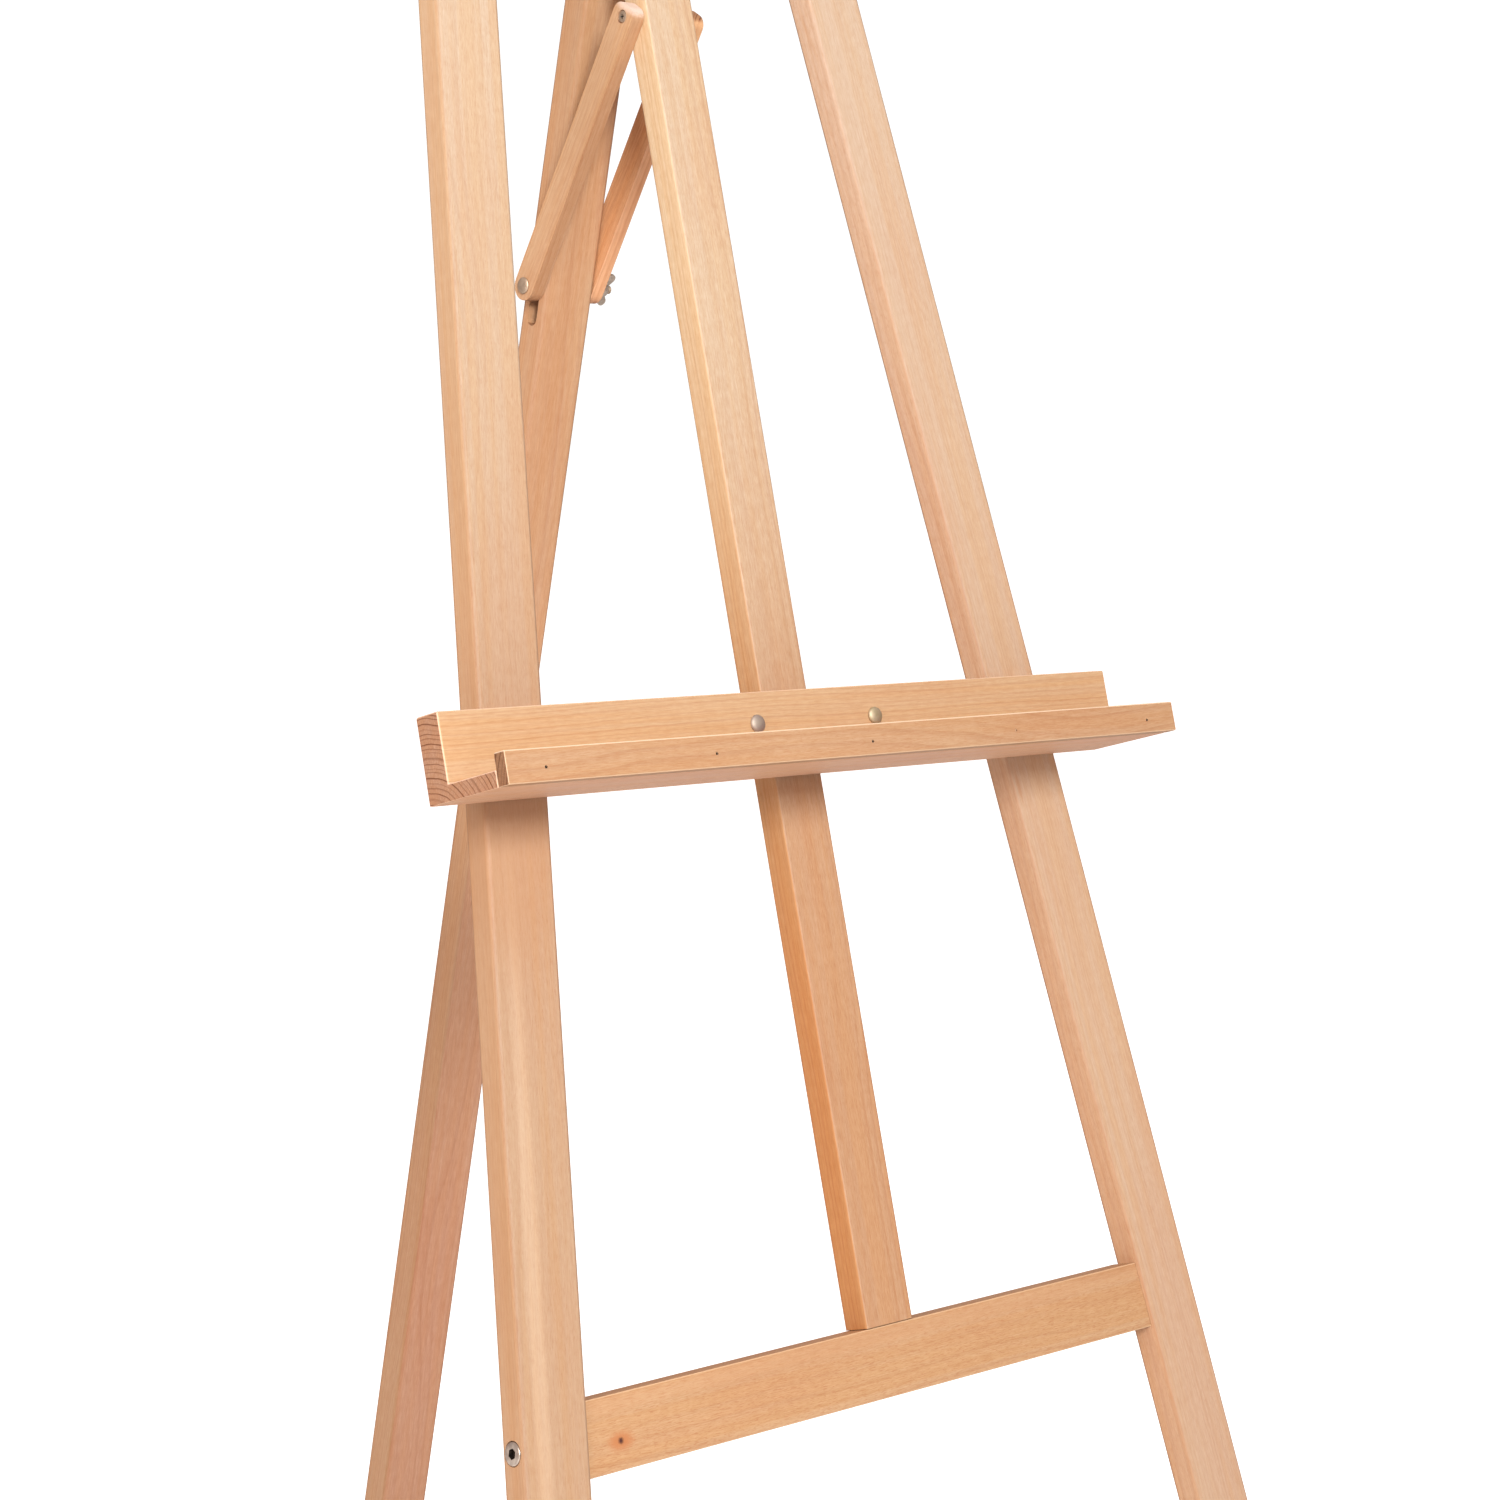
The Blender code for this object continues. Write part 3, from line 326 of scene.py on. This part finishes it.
def beech_group():
    """Beech as a node group, read in millimetres with Z along the grain.

    Pith is the tree's centre line, given from the member's own centre.  Rings are
    distances from it, rays are thin sheets that run out from it, and fibres run along Z.
    """
    tree = bpy.data.node_groups.new("beech_figure", 'ShaderNodeTree')
    for name, kind in (("Point", 'NodeSocketVector'), ("Normal", 'NodeSocketVector'),
                       ("Pith", 'NodeSocketVector'), ("Pith Distance", 'NodeSocketFloat'),
                       ("Ring Width", 'NodeSocketFloat'), ("Ring Depth", 'NodeSocketFloat'),
                       ("Ray Depth", 'NodeSocketFloat'), ("Seed", 'NodeSocketFloat'),
                       ("Edge Wear And Highlight", 'NodeSocketFloat'),
                       ("Pale", 'NodeSocketColor'), ("Deep", 'NodeSocketColor')):
        tree.interface.new_socket(name=name, in_out='INPUT', socket_type=kind)
    for name, kind in (("Color", 'NodeSocketColor'), ("Roughness", 'NodeSocketFloat'),
                       ("Height", 'NodeSocketFloat')):
        tree.interface.new_socket(name=name, in_out='OUTPUT', socket_type=kind)
    g = Graph(tree)
    given = g.node("NodeGroupInput").outputs
    result = g.node("NodeGroupOutput").inputs

    seed = given["Seed"]
    point = g.vector('ADD', given["Point"], g.join(0.0, 0.0, seed))
    fibres = figure_noise(g, point, FIBRE_STEPS, 3.0, 0.7)
    faces = g.split(g.vector('ABSOLUTE', given["Normal"]))[:]
    end = g.step(faces[2], 0.55, 0.90)

    x, y, z = g.split(g.vector('SUBTRACT', given["Point"], given["Pith"]))
    radius = g.math('SQRT', g.math('ADD', g.math('MULTIPLY', x, x), g.math('MULTIPLY', y, y)))
    arc = g.math('MULTIPLY', g.math('ARCTAN2', y, x), given["Pith Distance"])
    place = (radius, arc, g.math('ADD', z, seed))
    wavy = g.math('ADD', radius, g.math('ADD', wander(g, point, DRIFT_STEPS, 1.0, RING_DRIFT),
                                        wander(g, point, WIGGLE_STEPS, 2.0, RING_WIGGLE)))
    late = late_wood(g, wavy, given["Ring Width"], seed, end)

    rays = g.math('MAXIMUM', g.step(round_pith(g, place, SMALL_RAY_STEPS), 0.60, 0.76),
                  g.step(round_pith(g, place, LONG_RAY_STEPS), 0.64, 0.76))
    outward = g.vector('NORMALIZE', g.join(x, y, 0.0))
    facing = g.math('ABSOLUTE', g.vector('DOT_PRODUCT', outward, given["Normal"]))
    rays = g.math('MULTIPLY', rays, g.step(facing, 0.35, 0.85, 0.12, 1.0))

    colour = ground(g, point, fibres, given["Pale"], given["Deep"])
    ring_gain = g.math('ADD', g.math('MULTIPLY', end, END_RING_GAIN), 1.0)
    ring_power = g.math('MULTIPLY', given["Ring Depth"], ring_gain)
    ringed = g.mix(1.0, colour, g.mix(end, RING_TINT, END_RING_TINT), 'MULTIPLY')
    colour = g.mix(g.math('MULTIPLY', late, ring_power, clamp=True), colour, ringed)
    fleck = g.math('MULTIPLY', g.math('MULTIPLY', rays, given["Ray Depth"]),
                   g.math('SUBTRACT', 1.0, end), clamp=True)
    colour = g.mix(fleck, colour, FLECK_BROWN)
    end_rays = g.step(round_pith(g, place, END_RAY_STEPS, 1.0), 0.52, 0.75, 0.0, 0.5)
    end_colour = g.mix(end_rays, g.mix(1.0, colour, END_TINT, 'MULTIPLY'), colour)
    colour = g.mix(end, colour, end_colour)
    colour = worked_edges(g, colour, given["Pale"], given["Edge Wear And Highlight"], faces)

    rough = g.math('ADD', g.math('MULTIPLY', fibres, 0.18), g.math('MULTIPLY', end, 0.15))
    height = g.math('SUBTRACT', g.math('MULTIPLY', fibres, 0.6), g.math('MULTIPLY', rays, 0.5))
    height = g.math('SUBTRACT', height, g.math('MULTIPLY', late, 0.3))
    g.feed(result["Color"], colour)
    g.feed(result["Roughness"], g.math('ADD', rough, WOOD_ROUGHNESS))
    g.feed(result["Height"], height)
    return tree


BEECH = beech_group()


def member_axes(node):
    """A member's centre, and its turn: Z along the grain, Y out of its widest face."""
    faces = sorted(node.data.polygons, key=lambda face: face.area, reverse=True)
    wide = faces[0].normal.copy()
    if wide.y > 0:
        wide.negate()
    edge = next(face.normal for face in faces if abs(face.normal.dot(wide)) < 0.1)
    along = wide.cross(edge).normalized()
    if along.z < -0.01 or (abs(along.z) < 0.01 and along.x < 0):
        along.negate()
    axes = Matrix((wide.cross(along), wide, along)).transposed()
    low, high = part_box(node.name)
    return (Vector(low) + Vector(high)) / 2, axes.to_euler()


def principled(name):
    made = bpy.data.materials.new(name)
    made.use_nodes = True
    return made, Graph(made.node_tree), made.node_tree.nodes["Principled BSDF"].inputs


THROUGH = 60.0                     # mm, more than any member's thickness
SPOT_CORE = 0.35                   # share of a mark's size that has its full colour
STREAK_EDGE = 0.25


def spot(at, size, colour, strength=1.0, turn=(0.0, 0.0, 0.0), ragged_edge=0.35):
    """A soft-edged mark: an ellipsoid of a colour, at and size in mm in the member's axes."""
    def paint(g, point, below):
        local = g.vector('DIVIDE', g.turned(point, at, turn, 1.0), size)
        ragged = g.math('SUBTRACT', g.noise(point, scale=0.9, detail=2.0), 0.5)
        away = g.math('ADD', g.vector('LENGTH', local), g.math('MULTIPLY', ragged, ragged_edge))
        return g.mix(g.step(away, SPOT_CORE, 1.0, strength, 0.0), below, (*colour, 1.0))
    return paint


def streak(across, width, colour, strength, middle=0.0, span=900.0):
    """A long soft band of a colour along the grain, centred across the member in mm."""
    return spot((across, 0.0, middle), (width, THROUGH, span), colour, strength,
                ragged_edge=STREAK_EDGE)


def tinted(g, colour, tint):
    return g.mix(1.0, colour, (*tint, 1.0), 'MULTIPLY')


def times(colour, tone):
    return tuple(c * t for c, t in zip(colour, tone)) + (1.0,)


def bumped(g, shader, height, strength, relief):
    """Give a shader a fine relief, at most relief metres high."""
    bump = g.node("ShaderNodeBump")
    bump.inputs["Strength"].default_value = strength
    bump.inputs["Distance"].default_value = relief
    g.feed(bump.inputs["Height"], height)
    g.feed(shader["Normal"], bump.outputs["Normal"])


def beech(node_name, pith, seed, contrast=1.0, tone=PLAIN, side=PLAIN, low=PLAIN, low_side=None,
          fade=FADE, ring_width=2.6, ring_depth=0.30, ray_depth=0.22, edge_wear_and_highlight=0.0, marks_and_painted_light=()):
    """A member's own beech.  pith is (x, y) in mm from its centre, in its own axes.

    tone multiplies the whole board, side its faces on its own X, low its lower end and
    low_side the faces on X there. side, low and low_side are partly the board's own tone and
    partly painted light and shade, evening out how the lamps light those faces and the lower end.
    """
    mean = [(a + b) / 2 for a, b in zip(PALE, DEEP)]
    light = [m + (c - m) * contrast for m, c in zip(mean, PALE)]
    dark = [m + (c - m) * contrast for m, c in zip(mean, DEEP)]
    made, g, shader = principled(node_name + "_beech")
    centre, turn = member_axes(NODES[node_name])
    where = g.node("ShaderNodeTexCoord").outputs
    point = g.turned(where["Object"], centre, turn, MM)
    normal = g.turned(where["Normal"], (0, 0, 0), turn, 1.0)
    figure = g.node("ShaderNodeGroup", node_tree=BEECH)
    for name, value in (("Point", point), ("Normal", normal), ("Pith", (*pith, 0.0)),
                        ("Pith Distance", math.hypot(*pith)), ("Ring Width", ring_width),
                        ("Ring Depth", ring_depth), ("Ray Depth", ray_depth), ("Seed", seed),
                        ("Edge Wear And Highlight", edge_wear_and_highlight), ("Pale", times(light, tone)),
                        ("Deep", times(dark, tone))):
        g.feed(figure.inputs[name], value)
    colour = figure.outputs["Color"]
    # side, low and low_side tints: partly the board's own tone, partly painted light and shade
    narrow = g.step(g.math('ABSOLUTE', g.split(normal)[0]), 0.55, 0.85)
    low_share = g.step(g.split(point)[2], *fade, 1.0, 0.0)
    high_end = g.mix(narrow, colour, tinted(g, colour, side))
    low_end = g.mix(narrow, tinted(g, colour, low), tinted(g, colour, low_side or side))
    colour = g.mix(low_share, high_end, low_end)
    for overlay in marks_and_painted_light:
        colour = overlay(g, point, colour)
    g.feed(shader["Base Color"], colour)
    g.feed(shader["Roughness"], figure.outputs["Roughness"])
    shader["Specular IOR Level"].default_value = WOOD_SHINE
    bumped(g, shader, figure.outputs["Height"], WOOD_BUMP, WOOD_RELIEF)
    return made


# ---- Metal ---------------------------------------------------------------------------
METAL_PATCHES = 0.25               # steps of noise per mm
METAL_GRAIN = 4.0
METAL_BUMP = 0.15
METAL_RELIEF = 0.00005


def metal(name, light, dark, roughness):
    """Plated steel: two tones in soft patches, and a roughness that follows them."""
    made, g, shader = principled(name)
    point = g.vector('DIVIDE', g.node("ShaderNodeTexCoord").outputs["Object"], (MM, MM, MM))
    patch = g.noise(point, scale=METAL_PATCHES, detail=3.0)
    grain = g.noise(point, scale=METAL_GRAIN, detail=2.0)
    g.feed(shader["Base Color"], g.mix(g.step(patch, 0.35, 0.65), (*light, 1.0), (*dark, 1.0)))
    g.feed(shader["Roughness"], g.math('ADD', g.math('MULTIPLY', grain, 0.15), roughness))
    shader["Metallic"].default_value = 1.0
    bumped(g, shader, grain, METAL_BUMP, METAL_RELIEF)
    return made


# ---- Pieces --------------------------------------------------------------------------
WELD = 0.000002
FLAT = math.radians(0.3)           # facets that turn less than this are one face
CREASE = math.radians(38)          # edges that turn more than this stay sharp


def adopt(piece, node_name, *materials):
    """Let a piece stand for a CAD node, on the node's body, with the given materials."""
    piece.data.materials.clear()
    for material in materials:
        piece.data.materials.append(material)
    bpy.context.scene.collection.objects.link(piece)
    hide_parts(node_name)
    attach(piece, BODY_OF[node_name])
    return piece


def finished(node_name, material):
    """A CAD node's shape with its facets joined into smooth faces and crisp edges."""
    bm = bmesh.new()
    bm.from_mesh(NODES[node_name].data)
    bmesh.ops.remove_doubles(bm, verts=bm.verts, dist=WELD)
    bmesh.ops.dissolve_limit(bm, angle_limit=FLAT, verts=bm.verts, edges=bm.edges,
                             delimit={'NORMAL'})
    if "wing_nut" in node_name:    # so that no joined face spans the bore
        bmesh.ops.triangulate(bm, faces=bm.faces)
    mesh = bpy.data.meshes.new(node_name + "_finished")
    bm.to_mesh(mesh)
    bm.free()
    mesh.shade_smooth()
    mesh.set_sharp_from_angle(angle=CREASE)
    piece = bpy.data.objects.new(node_name + "_finished", mesh)
    normals = piece.modifiers.new("weighted_normals", 'WEIGHTED_NORMAL')
    normals.keep_sharp = True
    return adopt(piece, node_name, material)


def soften(piece, width):
    """Round a piece's sharp edges a little."""
    bevel = piece.modifiers.new("soften", 'BEVEL')
    bevel.width = width
    bevel.segments = 3
    bevel.limit_method = 'ANGLE'
    bevel.angle_limit = CREASE
    piece.modifiers.move(len(piece.modifiers) - 1, 0)


# ---- Turned hardware -----------------------------------------------------------------
TURNED_CREASE = math.radians(32)
PITCH = 0.001                      # of every thread
THREAD_DEPTH = 0.00045
THREAD_CHAMFER = 0.0007
CARRIAGE_SHANK = 0.0028
CARRIAGE_THREAD = 0.018            # length of a carriage bolt's thread
CARRIAGE_RIM = 0.0006              # height of its head's upright edge
DOME_STEPS = 15
LEG_SHANK = 0.003
LEG_THREAD = 0.012
HEX_CORNER = 0.0033                # from the middle of the leg bolt's socket to its corners
HEX_DEPTH = 0.0027
SCREW_SHANK = 0.002
SCREW_TRIM = 0.0004                # shown smaller than its countersink
CROSS_ARM = 0.0021
CROSS_HALF_WIDTH = 0.00048
CROSS_DEPTH = 0.0013
CUTTER_TOP = 0.001


def turned_axes(node_name):
    """Axes of a bolt or screw, Z out through the middle of its head, and its two sizes."""
    mesh = NODES[node_name].data
    points = np.array([vert.co for vert in mesh.vertices])
    areas = np.array([face.area for face in mesh.polygons])
    middles = np.array([face.center for face in mesh.polygons])
    centre = (middles * areas[:, None]).sum(axis=0) / areas.sum()
    offsets = points - centre
    axis = np.linalg.eigh(offsets.T @ offsets)[1][:, 2]
    reach = offsets @ axis
    radii = np.linalg.norm(offsets - np.outer(reach, axis), axis=1)
    if reach[radii.argmax()] < 0:
        axis = -axis
        reach = -reach
    top = Vector(centre + axis * reach.max())
    turn = Vector((0, 0, 1)).rotation_difference(Vector(axis)).to_matrix().to_4x4()
    return Matrix.Translation(top) @ turn, reach.max() - reach.min(), radii.max()


def lathe(profile, sides=64):
    """A closed mesh turned about Z from (radius, z) points that run top to bottom."""
    bm = bmesh.new()
    rings = []
    for radius, z in profile:
        if radius == 0.0:
            rings.append([bm.verts.new((0.0, 0.0, z))] * sides)
        else:
            rings.append([bm.verts.new((radius * math.cos(math.tau * i / sides),
                                        radius * math.sin(math.tau * i / sides), z))
                          for i in range(sides)])
    for upper, lower in zip(rings, rings[1:]):
        for i in range(sides):
            j = (i + 1) % sides
            corners = [upper[i], lower[i], lower[j], upper[j]]
            bm.faces.new(list(dict.fromkeys(corners)))
    return bm


def threads(radius, start, end):
    """Profile points of a thread's crests and roots down a shank, with a chamfered end."""
    root = radius - THREAD_DEPTH
    points = []
    z = start
    while z - PITCH > end + 0.0008:
        points += [(radius, z), (radius, z - PITCH * 0.15), (root, z - PITCH * 0.5),
                   (root, z - PITCH * 0.65)]
        z -= PITCH
    return points + [(radius, z), (radius, end + 0.0006), (radius - THREAD_CHAMFER, end),
                     (0.0, end)]


def prism(corners, depth, taper):
    """A cutter from an outline in XY, from just above Z = 0 down to a depth, and narrower there."""
    bm = bmesh.new()
    upper = [bm.verts.new((x, y, CUTTER_TOP)) for x, y in corners]
    lower = [bm.verts.new((x * taper, y * taper, -depth)) for x, y in corners]
    bm.faces.new(upper)
    bm.faces.new(lower[::-1])
    for i in range(len(corners)):
        j = (i + 1) % len(corners)
        bm.faces.new((upper[j], upper[i], lower[i], lower[j]))
    return bm


def object_of(name, bm):
    mesh = bpy.data.meshes.new(name)
    bmesh.ops.recalc_face_normals(bm, faces=bm.faces)
    bm.to_mesh(mesh)
    bm.free()
    return bpy.data.objects.new(name, mesh)


def carved(piece, cutter):
    """The piece with the cutter taken out of it; the cutter is used up."""
    for obj in (piece, cutter):
        bpy.context.scene.collection.objects.link(obj)
    boolean = piece.modifiers.new("carve", 'BOOLEAN')
    boolean.operation = 'DIFFERENCE'
    boolean.solver = 'EXACT'
    boolean.object = cutter
    graph = bpy.context.evaluated_depsgraph_get()
    mesh = bpy.data.meshes.new_from_object(piece.evaluated_get(graph))
    piece.modifiers.clear()
    piece.data = mesh
    bpy.context.scene.collection.objects.unlink(piece)
    bpy.data.objects.remove(cutter, do_unlink=True)
    return piece


def set_turned(node_name, piece, axes, material, recess_radius=0.0):
    """Put a piece made about Z on its node's axes; its recess, if any, gets painted shade: dark steel
    on the faces inside.
    """
    recess = [face.index for face in piece.data.polygons
              if face.center.xy.length < recess_radius and face.center.z < -0.0001]
    piece.data.transform(axes)
    piece.data.shade_smooth()
    piece.data.set_sharp_from_angle(angle=TURNED_CREASE)
    adopt(piece, node_name, *((material, DARK_STEEL_AND_RECESS_SHADE) if recess else (material,)))
    # painted shade: the faces inside the recess take the dark steel
    for index in recess:
        piece.data.polygons[index].material_index = 1


def carriage_bolt(node_name, material, head, crown, slimmer=0.0):
    """A domed head with a soft rim, a shank, and threads over its last part.

    head is the CAD head's height, crown what is shown of it, and slimmer comes off its radius.
    """
    axes, length, radius = turned_axes(node_name)
    radius -= slimmer
    top = crown - head
    profile = [(0.0, top)]
    for i in range(1, DOME_STEPS):
        a = math.radians(90 * i / DOME_STEPS)
        profile.append(((radius - 0.0001) * math.sin(a),
                        top + (crown - CARRIAGE_RIM) * (math.cos(a) - 1)))
    thread_top = CARRIAGE_THREAD - length
    profile += [(radius, -head + CARRIAGE_RIM), (radius, -head + 0.0002), (radius - 0.0002, -head),
                (CARRIAGE_SHANK, -head), (CARRIAGE_SHANK, thread_top)]
    profile += threads(CARRIAGE_SHANK, thread_top - 0.0001, -length)
    set_turned(node_name, object_of(node_name + "_turned", lathe(profile)), axes, material)


def leg_bolt(node_name, material):
    """A flat head with a rolled rim and a hex socket, standing a little proud of the leg."""
    axes, length, radius = turned_axes(node_name)
    thread_top = LEG_THREAD - length
    profile = [(0.0, 0.0), (radius - 0.0009, 0.0), (radius - 0.0005, -0.00008),
               (radius - 0.0002, -0.00028), (radius, -0.0006), (radius, -0.0017),
               (LEG_SHANK, -0.0029), (LEG_SHANK, thread_top)]
    profile += threads(LEG_SHANK, thread_top - 0.0001, -length)
    hexagon = [(HEX_CORNER * math.cos(math.tau * i / 6), HEX_CORNER * math.sin(math.tau * i / 6))
               for i in range(6)]
    piece = carved(object_of(node_name + "_turned", lathe(profile)),
                   object_of("socket", prism(hexagon, HEX_DEPTH, 0.97)))
    set_turned(node_name, piece, axes, material, HEX_CORNER)


def cross_screw(node_name, material):
    """A countersunk screw with a tapered cross recess in a slightly crowned head."""
    axes, length, radius = turned_axes(node_name)
    radius -= SCREW_TRIM
    profile = [(0.0, 0.0), (radius * 0.6, -0.00005), (radius * 0.92, -0.0002), (radius, -0.0005),
               (SCREW_SHANK, -0.0026), (SCREW_SHANK, -length * 0.85), (0.0004, -length),
               (0.0, -length)]
    piece = object_of(node_name + "_turned", lathe(profile, 48))
    for x, y in ((CROSS_ARM, CROSS_HALF_WIDTH), (CROSS_HALF_WIDTH, CROSS_ARM)):
        blade = prism([(x, y), (-x, y), (-x, -y), (x, -y)], CROSS_DEPTH, 0.45)
        piece = carved(piece, object_of("blade", blade))
    set_turned(node_name, piece, axes, material, CROSS_ARM)


# ---- The easel -----------------------------------------------------------------------
make_camera()
make_studio()

# Tones and marks follow the photograph: each board of the real easel has its own. The side, low and
# low_side tints are partly painted light and shade, and some marks are painted shade or highlights, as
# noted at each.
WOOD = {
    "left_leg": dict(
        pith=(35, 90), seed=10, ring_width=2.2, ring_depth=0.16, contrast=0.9,
        tone=(0.87, 0.95, 1.06), side=(1.08, 0.98, 0.85),
        low=(0.82, 0.70, 0.61), low_side=(0.88, 0.70, 0.56),
        # painted highlight: the soft pale band of gloss down the leg's rounded front
        marks_and_painted_light=(streak(9, 8, (0.80, 0.60, 0.43), 0.16, middle=-530, span=340),
                   # painted shadow: the tray's shadow on the leg just below it
                   spot((4, 0, -268), (46, THROUGH, 95), (0.40, 0.19, 0.09), 0.42))),
    "right_leg": dict(
        pith=(-60, 55), seed=470, ring_width=3.0, ring_depth=0.22, contrast=0.9,
        tone=(0.88, 0.94, 1.06), side=(1.10, 1.06, 1.06),
        low=(0.95, 0.87, 0.81), low_side=(0.99, 0.82, 0.69),
        # first spot: painted shade, the edge of the tray's shadow at the leg's inner front corner
        marks_and_painted_light=(spot((20, 10, -255), (2.2, 8, 14), (0.42, 0.20, 0.10), 0.6),
                   spot((23, 4, 300), (9, 2.6, 34), (0.50, 0.25, 0.12), 0.40, (0.16, 0, 0)),
                   spot((23, 0, 262), (9, 1.8, 26), (0.50, 0.25, 0.12), 0.35, (0.16, 0, 0)),
                   spot((23, -2, -330), (9, 2.4, 40), (0.45, 0.22, 0.11), 0.35, (0.10, 0, 0)))),
    "mast": dict(
        pith=(18, 60), seed=930, ring_width=4.4, ring_depth=0.34, contrast=1.35, edge_wear_and_highlight=0.15,
        tone=(0.87, 0.94, 1.02), side=(1.19, 1.17, 1.06),
        # lower end darker and more orange: partly its own tone, partly painted shade below the tray
        low=(0.84, 0.64, 0.51), low_side=(0.90, 0.56, 0.30), fade=(-520.0, 40.0)),
    "lower_crossbar": dict(
        pith=(25, 80), seed=1510, ray_depth=0.50, contrast=1.3, edge_wear_and_highlight=0.9,
        tone=(0.78, 0.68, 0.57), side=(1.0, 0.95, 0.92),
        marks_and_painted_light=(streak(16, 7, (0.50, 0.26, 0.13), 0.30),
                   spot((-5, 0, -215), (8, 30, 14), (0.43, 0.16, 0.06)),
                   spot((-5, 0, -215), (2.8, 30, 2.8), (0.07, 0.02, 0.015)))),
    "upper_crossbar": dict(pith=(-35, 70), seed=1790, ray_depth=0.42, tone=(0.95, 0.85, 0.75)),
    "tray_body": dict(
        pith=(-39, 59), seed=2230, ring_width=2.8, ring_depth=0.36, ray_depth=0.30, edge_wear_and_highlight=0.6,
        tone=(1.10, 1.00, 1.02), side=(0.82, 0.83, 0.72)),
    "tray_lip": dict(
        pith=(-34, 73), seed=2610, ring_width=2.4, ray_depth=0.30, contrast=1.2, edge_wear_and_highlight=1.0,
        # the pale streak is a painted highlight along the lip's top edge
        tone=(0.73, 0.63, 0.55), marks_and_painted_light=(streak(9.7, 1.1, (0.80, 0.58, 0.40), 0.8),)),
    "rear_leg": dict(
        pith=(25, 75), seed=3170, ring_depth=0.30, ray_depth=0.15, contrast=1.1,
        tone=(0.85, 0.73, 0.65), low=(1.10, 1.02, 1.13)),
    "strut_left": dict(
        pith=(30, 45), seed=3530, tone=(0.76, 0.64, 0.56), side=(1.20, 1.27, 1.30),
        marks_and_painted_light=(spot((0, 0, 105), (16, 20, 7), (0.80, 0.62, 0.52), 0.7),)),
    "strut_right": dict(
        pith=(-40, 35), seed=3910, tone=(1.00, 0.86, 0.75), side=(1.07, 0.965, 0.88),
        # low: painted light, lightening the part of the strut that lies in shade
        low=(1.25, 1.17, 1.15), fade=(40.0, 85.0)),
    "clamp_bar": dict(pith=(30, 65), seed=4290, tone=(0.98, 0.85, 0.72)),
}
for name, figure in WOOD.items():
    finished(name, beech(name, **figure))

# Sizes of the domed heads: the CAD head's height, and what the photograph shows of it.
TRAY_HEAD = 0.0033
TRAY_CROWN = 0.0028
TRAY_SLIMMER = 0.0010
STRUT_HEAD = 0.0021
NUT_SOFTENING = 0.0007
WASHER_SOFTENING = 0.0002
FILLED_NAIL = "lip_nail_4"         # the photograph doesn't show it

NICKEL = metal("nickel", (0.74, 0.63, 0.53), (0.54, 0.44, 0.37), 0.26)
ZINC = metal("zinc", (0.62, 0.54, 0.46), (0.47, 0.40, 0.33), 0.42)
WARM_ZINC = metal("warm_zinc", (0.60, 0.46, 0.34), (0.49, 0.37, 0.27), 0.52)
YELLOW_ZINC = metal("yellow_zinc", (0.50, 0.41, 0.34), (0.46, 0.37, 0.32), 0.60)
YELLOWER_ZINC = metal("yellow_zinc_right", (0.57, 0.46, 0.32), (0.52, 0.42, 0.26), 0.58)
# dark steel of the nails, also used as painted shade inside sockets and cross recesses
DARK_STEEL_AND_RECESS_SHADE = metal("dark_steel_and_recess_shade", (0.10, 0.075, 0.06), (0.05, 0.04, 0.035), 0.45)
FILLER, _, filler_shader = principled("nail_hole_filler")
filler_shader["Base Color"].default_value = (0.45, 0.255, 0.145, 1.0)
filler_shader["Roughness"].default_value = 0.55

METALS = {"nickel_bolt": NICKEL, "zinc_steel": ZINC, "yellow_zinc": YELLOW_ZINC,
          "nail_steel": DARK_STEEL_AND_RECESS_SHADE}
for name, slot in SLOT_OF.items():
    if slot not in METALS:
        continue
    if name.startswith("leg_bolt"):
        leg_bolt(name, METALS[slot])
    elif name.startswith("tray_bolt"):
        plating = YELLOWER_ZINC if name.endswith("right") else METALS[slot]
        carriage_bolt(name, plating, TRAY_HEAD, TRAY_CROWN, TRAY_SLIMMER)
    elif name == "strut_bolt":
        carriage_bolt(name, WARM_ZINC, STRUT_HEAD, STRUT_HEAD)
    elif name.startswith("strut_screw"):
        cross_screw(name, WARM_ZINC)
    elif "wing_nut" in name:
        soften(finished(name, METALS[slot]), NUT_SOFTENING)
    elif "washer" in name:
        soften(finished(name, METALS[slot]), WASHER_SOFTENING)
    else:
        finished(name, FILLER if name == FILLED_NAIL else METALS[slot])

FLOOR = bpy.data.meshes.new("floor")
FLOOR.from_pydata([(-FLOOR_SIZE, -FLOOR_SIZE, 0), (FLOOR_SIZE, -FLOOR_SIZE, 0),
                   (FLOOR_SIZE, FLOOR_SIZE, 0), (-FLOOR_SIZE, FLOOR_SIZE, 0)], [], [(0, 1, 2, 3)])
floor = bpy.data.objects.new("floor", FLOOR)
paper, paper_graph, paper_shader = principled("floor_paper")
paper_shader["Base Color"].default_value = (FLOOR_GREY, FLOOR_GREY, FLOOR_GREY, 1.0)
paper_shader["Roughness"].default_value = FLOOR_ROUGHNESS
paper_shader["Emission Color"].default_value = WHITE
seen = paper_graph.node("ShaderNodeLightPath").outputs["Is Camera Ray"]
paper_graph.feed(paper_shader["Emission Strength"], paper_graph.math('MULTIPLY', seen, FLOOR_GLOW))
FLOOR.materials.append(paper)
bpy.context.scene.collection.objects.link(floor)

bpy.context.view_layer.update()
